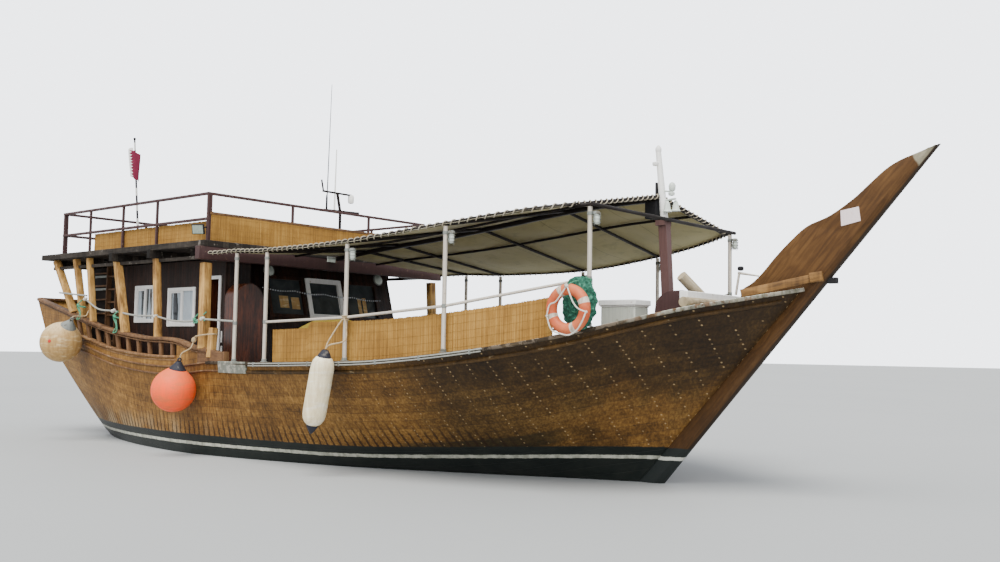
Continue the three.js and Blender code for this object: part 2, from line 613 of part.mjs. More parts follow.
// Canopy: poles on the gunwale with a handrail, a frame of rafters, and canvas over it
// Poles: columns are X, height of the head
const POLES = [[-1480, 3870], [-480, 3830], [1780, 3855], [3795, 4045], [5890, 4300]];
const POLE_RADIUS = 38;
const HANDRAIL = 720;
const gunwaleAt = (x) => {
  let t = 0.5;
  for (let i = 0; i < 20; i += 1) t = stationAt(x, gunwale(t));
  return t;
};
const poleSide = (x) => {
  const z = lineAt(capLine, x + POLE_RADIUS) + SEAT;
  return { y: halfBreadth(gunwaleAt(x), z) - 55, z };
};
const poleRows = {};
for (const [name, side] of Object.entries(WAYS)) {
  const feet = POLES.map(([x]) => poleSide(x));
  const poles = POLES.map(([x, head], i) => rod([x, side * feet[i].y, feet[i].z], [x, side * feet[i].y, head],
    POLE_RADIUS));
  const rails = feet.slice(2).map((foot, i) => rod(
    [POLES[i + 1][0], side * feet[i + 1].y, feet[i + 1].z + HANDRAIL],
    [POLES[i + 2][0], side * foot.y, foot.z + HANDRAIL], 24, 24, 8));
  piece(`canopy_post_${name}`, poles[0], 'pale');
  poleRows[name] = join([...poles.slice(1), ...rails]);
  piece(`canopy_poles_${name}`, poleRows[name], 'pale');
}

// Frame: ridge beam on the centreline, purlins, rafters and a front bar
const RIDGE = [[-2350, 4060], [-1020, 4190], [890, 4330], [2550, 4490], [4240, 4650], [5700, 4700]];
const ridgeZ = (x) => along(RIDGE.map(([a]) => a), RIDGE.map(([, z]) => z), x);
const EAVE = [3870, 3830, 3855, 4045, 4315];
const edgeZ = (x) => along(POLES.map(([a]) => a), EAVE, x);
const edgeY = (x) => poleSide(Math.max(x, POLES[0][0])).y;
const canopyZ = (x, y) => ridgeZ(x) + (edgeZ(x) - ridgeZ(x)) * Math.min(Math.abs(y) / edgeY(x), 1.1);
const RAFTER = 30;
const rafterZ = (x, y) => canopyZ(x, y) + RAFTER + SEAT;
const rafterLine = (x) => [-1, 1].map((k) => rod([x, 0, rafterZ(x, 0)],
  [x, k * edgeY(x), rafterZ(x, edgeY(x))], RAFTER, RAFTER, 6));
const purlinPoints = [-2350, -1480, -480, 890, 1780, 2550, 3795, 4240, 5000, 5700];
const purlin = (y) => purlinPoints.slice(1).map((x, i) => rod(
  [purlinPoints[i] - 10, y, rafterZ(purlinPoints[i], y)], [x + 10, y, rafterZ(x, y)], 26, 26, 6));
const ridgeBars = RIDGE.slice(1).map(([x, z], i) => bar([RIDGE[i][0] - 5, 0, RIDGE[i][1]], [x + 5, 0, z], 90, 90));
const FRONT = { x: 5958, y: poleSide(POLES[4][0]).y, z: POLES[4][1] + RAFTER + 1 };
piece('canopy_frame', join([
  ...ridgeBars, ...[-1480, -480, 1780, 3795, 5720].flatMap(rafterLine), ...purlin(1150), ...purlin(-1150),
  ...[-1, 1].flatMap((k) => [
    rod([5720, k * edgeY(5720), rafterZ(5720, edgeY(5720))], [5835, k * (FRONT.y + 20), FRONT.z], RAFTER),
    rod([5820, k * (FRONT.y + 20), FRONT.z], [FRONT.x + 20, k * FRONT.y, FRONT.z], RAFTER),
  ]),
  rod([FRONT.x, -FRONT.y - 60, FRONT.z], [FRONT.x, FRONT.y + 60, FRONT.z], RAFTER),
]), 'pale');

const canvasRing = (x) => {
  const out = edgeY(x) + 60;
  const ys = [-out, -out * 0.66, -out * 0.33, 0, out * 0.33, out * 0.66, out];
  const lift = 2 * RAFTER + 2.7;
  const lower = ys.map((y) => [x, y, canopyZ(x, y) + lift]);
  const upper = ys.map((y) => [x, y, canopyZ(x, y) + lift + CANOPY_SHEET]).reverse();
  return [...lower, ...upper];
};
piece('canopy', loft([-2350, -1480, -480, 890, 1780, 2550, 3795, 4240, 5000, 5750].map(canvasRing)), 'canvas');

// Mast forward of the canopy, with a thinner white top
piece('mast', join([
  plate([...footLine(foredeckLine, MAST.foot - MAST.half, MAST.foot + MAST.half),
    [MAST.x + MAST.half, MAST.head], [MAST.x - MAST.half, MAST.head]], -MAST.half, MAST.half),
  box([MAST.x - 110, MAST.x + MAST.half], [-105, 105], [MAST.head - 90, MAST.head]),
]), 'paint');
piece('mast_top', join([
  rod([MAST.x + 5, 0, MAST.head + 8], [MAST.x - 95, 0, 5540], 52, 38, 16),
  rod([MAST.x + 5, 0, MAST.head + SEAT], [MAST.x + 5, 0, MAST.head + 30], 60, 60, 16),
  rod([MAST.x - 20, 0, 4700], [MAST.x + 170, 0, 4720], 20, 90, 16),
]), 'white');

// Radio mast, flagstaff, flag and floodlight on the upper deck
const RADIO = { x: -3000, y: 600 };
piece('radio_mast', join([
  bar([RADIO.x, RADIO.y, ROOF_TOP + SEAT], [RADIO.x, RADIO.y, 5240], 50, 50),
  bar([RADIO.x, RADIO.y, 5200], [RADIO.x, RADIO.y - 100, 5640], 50, 50),
  bar([RADIO.x, RADIO.y - 520, 5618], [RADIO.x, RADIO.y + 320, 5618], 40, 40),
  bar([RADIO.x, RADIO.y - 470, 5205], [RADIO.x, RADIO.y + 560, 5237], 40, 40),
  bar([RADIO.x, RADIO.y - 500, 5600], [RADIO.x, RADIO.y - 563, 5868], 30, 30),
  rod([RADIO.x, RADIO.y - 400, 5195], [RADIO.x, RADIO.y - 343, 8060], 16, 10, 8),
  rod([RADIO.x, RADIO.y - 172, 5200], [RADIO.x, RADIO.y - 152, 6605], 22, 16, 8),
  rod([RADIO.x, RADIO.y + 315, 5424], [RADIO.x, RADIO.y + 311, 5640], 60, 70, 16),
]), 'pale');
const STAFF = { foot: -6834, head: -7213, y: -2090, top: 6930 };
const staffX = (z) => STAFF.foot + (STAFF.head - STAFF.foot) * (z - ROOF_TOP) / (STAFF.top - ROOF_TOP);
const staff = (radius) => rod([STAFF.foot, STAFF.y, ROOF_TOP + 8], [STAFF.head, STAFF.y, STAFF.top], radius, radius - 8);
piece('flagstaff', join([staff(28), rod([STAFF.foot, STAFF.y, ROOF_TOP + SEAT],
  [STAFF.foot, STAFF.y, ROOF_TOP + 30], 50)]), 'dark');
piece('flag', cut(box([-7200, -6790], [STAFF.y - 12, STAFF.y + 12], [5840, 6570]), [
  staff(28.8), plate([[-7400, 5800], [staffX(5800), 5800], [staffX(6600), 6600], [-7400, 6600]],
    STAFF.y - 20, STAFF.y + 20),
]), 'flag');
const RAIL_FACE = -RAIL_HALF - TUBE / 2 - SEAT;
piece('floodlight', join([
  box([RAIL_FORE - 150, RAIL_FORE + 30], [RAIL_FACE - 150, RAIL_FACE - 25], [4385, 4560]),
  box([RAIL_FORE - 50, RAIL_FORE - 10], [RAIL_FACE - 40, RAIL_FACE], [4430, 4490]),
]), 'dark');

// Bow gear: a locker with a quarter-round back, and a log and a beam across the gunwales
const BOW_BOX = { aft: 6250, fore: 6750, top: 3090, round: 300 };
const boxBack = [0, 1, 2, 3, 4, 5, 6].map((i) => [
  BOW_BOX.aft + BOW_BOX.round * (1 - Math.cos(Math.PI * i / 12)),
  BOW_BOX.top - BOW_BOX.round * (1 - Math.sin(Math.PI * i / 12))]);
piece('bow_box', plate([...footLine(foredeckLine, BOW_BOX.aft, BOW_BOX.fore), [BOW_BOX.fore, BOW_BOX.top],
  ...boxBack.reverse()], -950, -650), 'paint');
const LOG = { x: 6980, z: 2890, radius: 80, half: 1330 };
const foredeckTop = deck(FORE_STEP + STEP, FOREDECK_END).translate(0, 0, 0.7);
piece('bow_timbers', cut(join([
  rod([LOG.x, -LOG.half, LOG.z], [LOG.x, LOG.half, LOG.z], LOG.radius, LOG.radius, 16),
  box([6820, 6960], [-1170, 1170], [2945, 3065]), box([6640, 6830], [-250, -130], [2955, 3035]),
  rod([6890, 236, 2600], [6490, -550, 3350], 92, 92, 16),
]), [foredeckTop, ...gunwaleCaps.map((cap, i) => cap.clone().translate(0, i ? -1 : 1, 0.7))]), 'timber');

// Fenders hung by ropes on the starboard side, and a lifebuoy lashed to the handrail
const ROPE = 12;
const OUTWARD = [0, -0.7, 0];
const ball = (radius, place) => new THREE.SphereGeometry(radius, 20, 12).translate(...place);
const capPoint = (x) => {
  const t = stationAt(x, poopCap(stationAt(x, 2400)));
  return [x, -(halfBreadth(t, poopCap(t)) + 25), poopCap(t) + 35];
};
piece('fender_stern', hung(ball(440, [-7330, -3590, 2161]), rod([-7270, -3590, 2530], capPoint(-7170), ROPE),
  poopRails.starboard, OUTWARD), 'cream');
piece('fender_ball', hung(ball(420, [-2838, -3600, 1269]), rod([-2790, -3600, 1620], capPoint(-2500), ROPE),
  poopRails.starboard, OUTWARD), 'orange');
const LONG_FENDER = { x: 1515, y: -3680, z: 1402, lean: 0.223 };
const longFender = new THREE.CapsuleGeometry(195, 960, 5, 16).rotateX(Math.PI / 2).rotateY(LONG_FENDER.lean)
  .translate(LONG_FENDER.x, LONG_FENDER.y, LONG_FENDER.z);
piece('fender_long', hung(longFender, rod([1655, LONG_FENDER.y, 2040],
  [POLES[2][0], -poleSide(POLES[2][0]).y, 2640], ROPE), poleRows.starboard, OUTWARD), 'cream');
const BUOY = { x: 5839, y: -2660, z: 2741, turn: 0.05, radius: 290, tube: 85 };
const [buoyFrom, buoyTo] = [POLES[3][0], POLES[4][0]].map((x) => [x, poleSide(x).y, poleSide(x).z + HANDRAIL]);
const buoyShare = (BUOY.x - buoyFrom[0]) / (buoyTo[0] - buoyFrom[0]);
const buoyHook = [0, 1, 2].map((k) => buoyFrom[k] + (buoyTo[k] - buoyFrom[k]) * buoyShare);
piece('lifebuoy', hung(new THREE.TorusGeometry(BUOY.radius, BUOY.tube, 8, 24).rotateX(Math.PI / 2)
  .rotateZ(BUOY.turn).translate(BUOY.x, BUOY.y, BUOY.z), rod([BUOY.x, BUOY.y, BUOY.z + BUOY.radius],
  [buoyHook[0], -buoyHook[1], buoyHook[2]], ROPE), poleRows.starboard, OUTWARD), 'orange');

export default model;
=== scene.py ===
"""Looks of a wooden dhow motor boat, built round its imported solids.

Metres, X forward to the bow, Y to port, Z up from the waterline.
"""

import json
import math
from collections import namedtuple

import bmesh
import bpy
import numpy as np
from mathutils import Matrix
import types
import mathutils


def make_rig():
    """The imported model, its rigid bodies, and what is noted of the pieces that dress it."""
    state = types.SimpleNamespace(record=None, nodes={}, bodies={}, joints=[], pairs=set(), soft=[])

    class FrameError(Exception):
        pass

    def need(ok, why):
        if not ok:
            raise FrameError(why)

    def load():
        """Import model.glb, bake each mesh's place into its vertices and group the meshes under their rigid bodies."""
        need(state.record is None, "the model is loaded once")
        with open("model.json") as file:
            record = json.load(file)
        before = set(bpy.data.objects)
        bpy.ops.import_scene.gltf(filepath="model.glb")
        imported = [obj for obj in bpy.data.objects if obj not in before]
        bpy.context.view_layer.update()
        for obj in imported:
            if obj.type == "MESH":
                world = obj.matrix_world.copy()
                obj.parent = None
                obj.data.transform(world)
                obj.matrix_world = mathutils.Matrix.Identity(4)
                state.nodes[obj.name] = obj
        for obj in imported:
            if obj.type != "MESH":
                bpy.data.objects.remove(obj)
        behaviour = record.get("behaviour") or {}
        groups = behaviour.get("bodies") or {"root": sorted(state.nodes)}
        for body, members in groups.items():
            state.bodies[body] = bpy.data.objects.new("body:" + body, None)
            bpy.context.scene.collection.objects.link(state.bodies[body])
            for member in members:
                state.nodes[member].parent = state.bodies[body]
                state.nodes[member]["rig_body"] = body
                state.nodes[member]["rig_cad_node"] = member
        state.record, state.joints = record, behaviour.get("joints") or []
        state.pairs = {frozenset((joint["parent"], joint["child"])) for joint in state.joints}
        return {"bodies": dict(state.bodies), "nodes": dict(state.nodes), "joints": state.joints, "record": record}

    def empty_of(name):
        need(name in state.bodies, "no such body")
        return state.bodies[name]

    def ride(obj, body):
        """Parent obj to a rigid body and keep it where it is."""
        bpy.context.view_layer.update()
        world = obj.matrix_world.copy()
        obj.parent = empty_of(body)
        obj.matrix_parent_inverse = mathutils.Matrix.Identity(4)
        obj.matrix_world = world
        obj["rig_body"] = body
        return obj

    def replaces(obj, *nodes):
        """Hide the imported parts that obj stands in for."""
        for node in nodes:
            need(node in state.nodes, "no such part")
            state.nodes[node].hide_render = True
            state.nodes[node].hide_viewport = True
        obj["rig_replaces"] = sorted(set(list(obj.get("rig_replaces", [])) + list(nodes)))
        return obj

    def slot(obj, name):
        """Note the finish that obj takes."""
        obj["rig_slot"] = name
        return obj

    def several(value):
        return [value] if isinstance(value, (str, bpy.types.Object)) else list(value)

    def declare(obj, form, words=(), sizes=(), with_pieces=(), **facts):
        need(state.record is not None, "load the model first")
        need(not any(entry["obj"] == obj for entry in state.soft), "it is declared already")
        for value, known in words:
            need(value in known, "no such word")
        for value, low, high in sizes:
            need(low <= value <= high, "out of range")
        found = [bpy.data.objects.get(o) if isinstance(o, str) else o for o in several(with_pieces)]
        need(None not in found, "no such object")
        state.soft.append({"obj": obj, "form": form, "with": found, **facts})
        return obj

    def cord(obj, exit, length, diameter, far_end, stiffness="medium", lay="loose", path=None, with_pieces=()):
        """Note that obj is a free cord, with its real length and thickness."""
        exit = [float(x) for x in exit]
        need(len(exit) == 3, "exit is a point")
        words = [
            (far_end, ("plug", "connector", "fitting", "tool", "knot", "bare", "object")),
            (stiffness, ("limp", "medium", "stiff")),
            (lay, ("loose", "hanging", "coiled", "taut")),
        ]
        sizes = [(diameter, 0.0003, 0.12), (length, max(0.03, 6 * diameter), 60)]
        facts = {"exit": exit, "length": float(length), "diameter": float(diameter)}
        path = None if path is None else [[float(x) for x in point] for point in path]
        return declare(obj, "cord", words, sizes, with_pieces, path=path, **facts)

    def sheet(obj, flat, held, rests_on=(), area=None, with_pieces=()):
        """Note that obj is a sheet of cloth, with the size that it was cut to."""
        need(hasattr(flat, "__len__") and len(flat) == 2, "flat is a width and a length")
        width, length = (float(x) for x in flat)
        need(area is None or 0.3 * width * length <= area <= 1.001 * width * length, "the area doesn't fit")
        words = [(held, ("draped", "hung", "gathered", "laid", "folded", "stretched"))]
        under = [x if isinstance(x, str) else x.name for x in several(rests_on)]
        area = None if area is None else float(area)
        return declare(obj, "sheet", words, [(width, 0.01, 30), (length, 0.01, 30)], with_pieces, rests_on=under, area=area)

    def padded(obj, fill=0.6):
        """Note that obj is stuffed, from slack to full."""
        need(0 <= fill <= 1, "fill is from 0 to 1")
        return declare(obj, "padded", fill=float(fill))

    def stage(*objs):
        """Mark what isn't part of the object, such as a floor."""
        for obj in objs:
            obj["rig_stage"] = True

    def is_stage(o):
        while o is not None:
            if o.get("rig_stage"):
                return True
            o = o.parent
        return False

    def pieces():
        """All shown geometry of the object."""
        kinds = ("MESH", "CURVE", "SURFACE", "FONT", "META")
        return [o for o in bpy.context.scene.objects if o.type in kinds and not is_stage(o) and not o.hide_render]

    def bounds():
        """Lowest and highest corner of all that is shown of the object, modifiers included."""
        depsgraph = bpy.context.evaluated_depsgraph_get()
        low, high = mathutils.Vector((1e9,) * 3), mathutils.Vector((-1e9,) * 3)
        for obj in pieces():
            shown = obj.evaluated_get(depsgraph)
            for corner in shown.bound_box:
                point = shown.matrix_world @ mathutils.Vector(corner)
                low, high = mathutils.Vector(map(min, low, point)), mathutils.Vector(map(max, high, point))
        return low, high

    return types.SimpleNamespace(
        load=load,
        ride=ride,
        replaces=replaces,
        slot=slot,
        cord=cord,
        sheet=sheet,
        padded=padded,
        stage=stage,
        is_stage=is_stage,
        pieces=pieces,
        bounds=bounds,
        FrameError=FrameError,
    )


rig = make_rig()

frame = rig.load()
cad_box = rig.bounds()
NODES = frame["nodes"]
TURN = 2 * math.pi
STARBOARD, PORT = -1, 1
STEM_FOOT, STEM_SLOPE = 5.865, 0.8675
STRIPE_AFT, STRIPE_RISE = 0.22, 0.21
SIDES = {"starboard": STARBOARD, "port": PORT}

# Camera, light and floor

EYE = (14.88, -14.90, 2.09)


def make_camera(turn, pitch, roll, focal):
    """Camera at the eye, its axes turned from straight ahead by a turn, a pitch and a roll."""
    turn, pitch, roll = map(math.radians, (turn, pitch, roll))
    ahead = np.array([-math.sin(turn) * math.cos(pitch), math.cos(turn) * math.cos(pitch), math.sin(pitch)])
    right = np.array([math.cos(turn), math.sin(turn), 0.0])
    above = np.cross(right, ahead)
    across = right * math.cos(roll) + above * math.sin(roll)
    upright = -right * math.sin(roll) + above * math.cos(roll)
    data = bpy.data.cameras.new("camera")
    data.lens, data.sensor_width, data.clip_end = focal, 36.0, 2000.0
    camera = bpy.data.objects.new("camera", data)
    bpy.context.collection.objects.link(camera)
    axes = np.column_stack([across, upright, -ahead])
    camera.matrix_world = Matrix.Translation(EYE) @ Matrix(axes.tolist()).to_4x4()
    bpy.context.scene.camera = camera


make_camera(40.22, 3.936, 0.958, 37.44)


def make_light(name, toward, strength, spread, colour):
    """Sun that shines from a direction, with a spread in degrees."""
    data = bpy.data.lights.new(name, "SUN")
    data.energy, data.angle, data.color = strength, math.radians(spread), colour
    light = bpy.data.objects.new(name, data)
    bpy.context.collection.objects.link(light)
    back = np.array(toward) / np.linalg.norm(toward)
    side = np.cross((0.0, 0.0, 1.0), back)
    side /= np.linalg.norm(side)
    light.matrix_world = Matrix(np.column_stack([side, np.cross(back, side), back]).tolist()).to_4x4()


make_light("overhead_light", (0.15, -0.45, 1.0), 5.0, 40.0, (1.0, 0.97, 0.91))
make_light("front_light", (0.9, -1.0, 0.35), 2.2, 60.0, (1.0, 0.97, 0.93))


def make_sky(colour, lighting, seen):
    """Even sky, with one strength for its light and another for the camera."""
    world = bpy.data.worlds.new("studio")
    world.use_nodes = True
    nodes, links = world.node_tree.nodes, world.node_tree.links
    path, strength = nodes.new("ShaderNodeLightPath"), nodes.new("ShaderNodeMapRange")
    strength.inputs["To Min"].default_value, strength.inputs["To Max"].default_value = lighting, seen
    links.new(path.outputs["Is Camera Ray"], strength.inputs["Value"])
    links.new(strength.outputs["Result"], nodes["Background"].inputs["Strength"])
    nodes["Background"].inputs["Color"].default_value = (*colour, 1.0)
    bpy.context.scene.world = world


make_sky((0.83, 0.86, 0.91), 1.3, 4.4)

# Shapes: arrays of points, of faces of three or four corners, of UV at each corner, and of a tone


Shape = namedtuple("Shape", "points faces uv tone")


def shape(points, faces, uv=None):
    """A shape from points and faces of four corners."""
    points, faces = np.asarray(points, float).reshape(-1, 3), np.asarray(faces, int)
    uv = np.zeros(faces.shape + (2,)) if uv is None else uv
    return Shape(points, faces, uv, np.full(len(points), 0.5))


def joined(*shapes):
    """All the shapes as one, their faces renumbered."""
    starts = np.cumsum([0] + [len(s.points) for s in shapes[:-1]])
    faces = [np.where(s.faces < 0, -1, s.faces + k) for s, k in zip(shapes, starts)]
    return Shape(np.concatenate([s.points for s in shapes]), np.concatenate(faces),
                 np.concatenate([s.uv for s in shapes]), np.concatenate([s.tone for s in shapes]))


def moved(s, by=(0, 0, 0), scale=(1, 1, 1)):
    """The shape scaled about the origin and moved."""
    return s._replace(points=s.points * np.asarray(scale, float) + np.asarray(by, float))


def grid(points, around=False, capped=False, uv=None, tone=0.5):
    """Faces between neighbouring rows and columns of points. Around joins the last column to the
    first, and capped closes the first and last row with a fan from its middle."""
    points = np.asarray(points, float)
    rows, cols = points.shape[:2]
    wide = cols if around else cols - 1
    i, j = np.meshgrid(np.arange(rows - 1), np.arange(wide), indexing="ij")
    k = (j + 1) % cols
    faces = np.stack([i * cols + j, i * cols + k, (i + 1) * cols + k, (i + 1) * cols + j], -1).reshape(-1, 4)
    if uv is None:
        uv = np.stack(np.meshgrid(np.linspace(0, 1, rows), np.linspace(0, 1, wide + 1), indexing="ij"), -1)
    corners = np.stack([uv[i, j], uv[i, j + 1], uv[i + 1, j + 1], uv[i + 1, j]], 2).reshape(-1, 4, 2)
    flat = points.reshape(-1, 3)
    tone = np.broadcast_to(tone, points.shape[:2]).reshape(-1)
    if capped:
        middles = points[[0, -1]].mean(1)
        j = np.arange(cols)
        for end, row in ((0, 0), (1, rows - 1)):
            middle, missing = np.full(cols, len(flat) + end), np.full(cols, -1)
            fan = np.column_stack([middle, row * cols + j, row * cols + (j + 1) % cols, missing])
            faces = np.concatenate([faces, fan])
            corners = np.concatenate([corners, np.broadcast_to(uv[row, 0], (cols, 4, 2))])
        flat = np.concatenate([flat, middles])
        tone = np.concatenate([tone, [float(np.mean(tone))] * 2])
    return Shape(flat, faces, corners, tone.astype(float))


def unit(v):
    return v / np.linalg.norm(v, axis=-1, keepdims=True)


def carried(path, profile, up=(0, 0, 1), scale=1.0):
    """A closed profile carried along a path. Each of its points stands off sideways, at right
    angles to the path and to up, and upwards, at right angles to both. UV is metres along and round."""
    path, profile = np.asarray(path, float), np.asarray(profile, float)
    ahead = unit(np.gradient(path, axis=0))
    side = unit(np.cross(ahead, up))
    rise = np.cross(side, ahead)
    scale = np.broadcast_to(scale, len(path))[:, None, None]
    section = profile[None, :, :1] * side[:, None] + profile[None, :, 1:] * rise[:, None]
    points = path[:, None] + scale * section
    run = np.concatenate([[0], np.cumsum(np.linalg.norm(np.diff(path, axis=0), axis=1))])
    ring = np.concatenate([profile, profile[:1]])
    girth = np.concatenate([[0], np.cumsum(np.linalg.norm(np.diff(ring, axis=0), axis=1))])
    uv = np.stack(np.meshgrid(run, girth, indexing="ij"), -1)
    return grid(points, around=True, capped=True, uv=uv)


def circle(radius, sides=12):
    turn = np.arange(sides) * TURN / sides
    return radius * np.column_stack([np.cos(turn), np.sin(turn)])


def rounded(width, depth, radius, steps=2):
    """Rectangle with each corner an arc of the radius."""
    turn = np.linspace(0, math.pi / 2, steps + 1)
    arcs = [np.column_stack([cx * (width / 2 - radius) + radius * np.cos(turn + start),
                             cy * (depth / 2 - radius) + radius * np.sin(turn + start)])
            for cx, cy, start in ((1, 1, 0), (-1, 1, math.pi / 2), (-1, -1, math.pi), (1, -1, 1.5 * math.pi))]
    return np.concatenate(arcs)


def line(a, b, points=2):
    return np.linspace(a, b, points)


def along(rows, values, at):
    """Smooth curve through a table's rows: cubic pieces whose slope at a row is that between its
    two neighbours. Beyond the ends it keeps the end's value."""
    rows, values = np.asarray(rows, float), np.asarray(values, float)
    x = np.clip(at, rows[0], rows[-1])
    n = len(rows)
    after, before = np.minimum(np.arange(n) + 1, n - 1), np.maximum(np.arange(n) - 1, 0)
    slope = (values[after] - values[before]) / (rows[after] - rows[before])
    i = np.clip(np.searchsorted(rows, x, side="left") - 1, 0, n - 2)
    h = rows[i + 1] - rows[i]
    t = (x - rows[i]) / h
    return ((2 * t ** 3 - 3 * t ** 2 + 1) * values[i] + (t ** 3 - 2 * t ** 2 + t) * h * slope[i]
            + (3 * t ** 2 - 2 * t ** 3) * values[i + 1] + (t ** 3 - t ** 2) * h * slope[i + 1])


def through(points, count):
    """Path through points, each coordinate a smooth curve of the distance along them."""
    points = np.asarray(points, float)
    run = np.concatenate([[0], np.cumsum(np.linalg.norm(np.diff(points, axis=0), axis=1))])
    at = np.linspace(0, run[-1], count)
    return np.column_stack([along(run, points[:, k], at) for k in range(3)])


def up_for(path, steep):
    """X for a path that climbs by more than a share of its length, and Z for any other."""
    climb = abs(path[-1][2] - path[0][2])
    return (1, 0, 0) if climb > steep * np.linalg.norm(path[-1] - path[0]) else (0, 0, 1)


def rod(a, b, radius, end=None, sides=12, points=2):
    """Round rod from a to b, tapered to the end radius if one is given."""
    path = line(a, b, points)
    radii = np.linspace(radius, radius if end is None else end, points)
    return carried(path, circle(1.0, sides), up_for(path, 0.7), radii)


def stick(a, b, width, depth, radius=0.006, points=2):
    """Square bar with rounded corners from a to b: width sideways, depth across that."""
    path = line(a, b, points)
    return carried(path, rounded(width, depth, radius), up_for(path, 0.8))


def turned(profile, base, axis=(0, 0, 1), sides=24):
    """Surface of revolution: rows are radius and height along an axis from a base point."""
    profile = np.asarray(profile, float)
    axis = unit(np.asarray(axis, float))
    side = unit(np.cross(axis, (0.0, 1.0, 0.0) if abs(axis[1]) < 0.9 else (1.0, 0.0, 0.0)))
    rise = np.cross(axis, side)
    turn = np.arange(sides) * TURN / sides
    ring = np.cos(turn)[:, None] * side + np.sin(turn)[:, None] * rise
    points = np.asarray(base, float) + profile[:, 1, None, None] * axis + profile[:, 0, None, None] * ring
    run = np.concatenate([[0], np.cumsum(np.linalg.norm(np.diff(profile, axis=0), axis=1))])
    uv = np.stack(np.meshgrid(run, np.linspace(0, 1, sides + 1), indexing="ij"), -1)
    return grid(points, around=True, capped=True, uv=uv)


def crate(low, high):
    """Box between two corners. Its UV is metres on each face's own two axes."""
    low, high = np.asarray(low, float), np.asarray(high, float)
    pick = np.array([[x, y, z] for x in (0, 1) for y in (0, 1) for z in (0, 1)])
    points = low + pick * (high - low)
    faces = np.array([[0, 1, 3, 2], [4, 6, 7, 5], [0, 4, 5, 1], [2, 3, 7, 6], [0, 2, 6, 4], [1, 5, 7, 3]])
    axes = [(1, 2), (1, 2), (0, 2), (0, 2), (0, 1), (0, 1)]
    uv = np.stack([points[face][:, list(pair)] for face, pair in zip(faces, axes)])
    return shape(points, faces, uv)


def ring_of(radius, tube, place, normal, sides=48, around=12):
    """Ring of round section about a normal. UV is the share of a turn and the share round the section."""
    normal = unit(np.asarray(normal, float))
    side = unit(np.cross(normal, (0.0, 0.0, 1.0) if abs(normal[2]) < 0.9 else (1.0, 0.0, 0.0)))
    rise = np.cross(normal, side)
    turn = np.linspace(0.0, 1.0, sides + 1) * TURN
    out = np.cos(turn)[:, None] * side + np.sin(turn)[:, None] * rise
    round_it = np.arange(around) * TURN / around
    points = (np.asarray(place, float) + out[:, None] * (radius + tube * np.cos(round_it))[None, :, None]
              + normal * (tube * np.sin(round_it))[None, :, None])
    uv = np.stack(np.meshgrid(turn / TURN, np.linspace(0, 1, around + 1), indexing="ij"), -1)
    return grid(points, around=True, uv=uv)


def piece(name, parts, finish, slot, body="boat", stands_for=(), bevel=0.0, closed=True, crease=38):
    """One named object made of shapes, which rides on a body and may stand for CAD nodes."""
    s = joined(*parts)
    corners = s.faces.reshape(-1)
    real = corners >= 0
    sizes = (s.faces >= 0).sum(1)
    mesh = bpy.data.meshes.new(name)
    mesh.vertices.add(len(s.points))
    mesh.vertices.foreach_set("co", s.points.ravel())
    mesh.loops.add(int(real.sum()))
    mesh.loops.foreach_set("vertex_index", corners[real])
    mesh.polygons.add(len(sizes))
    mesh.polygons.foreach_set("loop_start", np.concatenate([[0], np.cumsum(sizes)[:-1]]))
    mesh.uv_layers.new(name="UVMap").data.foreach_set("uv", s.uv.reshape(-1, 2)[real].ravel())
    mesh.attributes.new("tone", "FLOAT", "POINT").data.foreach_set("value", s.tone)
    mesh.update(calc_edges=True)
    if closed:
        settle(mesh, 1e-5)
    return dress(name, mesh, finish, slot, body, stands_for, bevel, crease)


def settle(mesh, distance):
    """Merges doubled points and turns closed surfaces to face outwards."""
    work = bmesh.new()
    work.from_mesh(mesh)
    bmesh.ops.remove_doubles(work, verts=work.verts, dist=distance)
    bmesh.ops.recalc_face_normals(work, faces=work.faces)
    work.to_mesh(mesh)
    work.free()


def dress(name, mesh, finish, slot, body, stands_for, bevel, crease):
    """An object from a mesh, with its finish, shading and eased edges, declared to the frame."""
    mesh.materials.append(finish)
    mesh.polygons.foreach_set("use_smooth", np.ones(len(mesh.polygons), bool))
    mesh.set_sharp_from_angle(angle=math.radians(crease))
    thing = bpy.data.objects.new(name, mesh)
    bpy.context.collection.objects.link(thing)
    if bevel:
        edge = thing.modifiers.new("eased edges", "BEVEL")
        edge.width, edge.segments, edge.limit_method, edge.angle_limit = bevel, 2, "ANGLE", math.radians(40)
    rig.ride(thing, body)
    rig.slot(thing, slot)
    if stands_for:
        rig.replaces(thing, *stands_for)
    return thing


def eased(node, finish, slot, bevel=0.006, body="boat"):
    """A copy of a CAD node with its triangles merged, flat faces joined and edges eased."""
    mesh = NODES[node].data.copy()
    mesh.name = node + "_eased"
    mesh.materials.clear()
    work = bmesh.new()
    work.from_mesh(mesh)
    bmesh.ops.remove_doubles(work, verts=work.verts, dist=1e-4)
    bmesh.ops.dissolve_limit(work, angle_limit=math.radians(1.0), verts=work.verts, edges=work.edges)
    work.to_mesh(mesh)
    work.free()
    return dress(node + "_eased", mesh, finish, slot, body, (node,), bevel, 38)

# Finishes: each is a node tree, built with a bench that adds nodes and links them


class Value:
    """A node's output. Arithmetic on it adds Math nodes."""

    def __init__(self, bench, socket):
        self.bench, self.socket = bench, socket

    def __add__(self, other):
        return self.bench.math("ADD", self, other)

    def __radd__(self, other):
        return self.bench.math("ADD", other, self)

    def __sub__(self, other):
        return self.bench.math("SUBTRACT", self, other)

    def __rsub__(self, other):
        return self.bench.math("SUBTRACT", other, self)

    def __mul__(self, other):
        return self.bench.math("MULTIPLY", self, other)

    def __truediv__(self, other):
        return self.bench.math("DIVIDE", self, other)


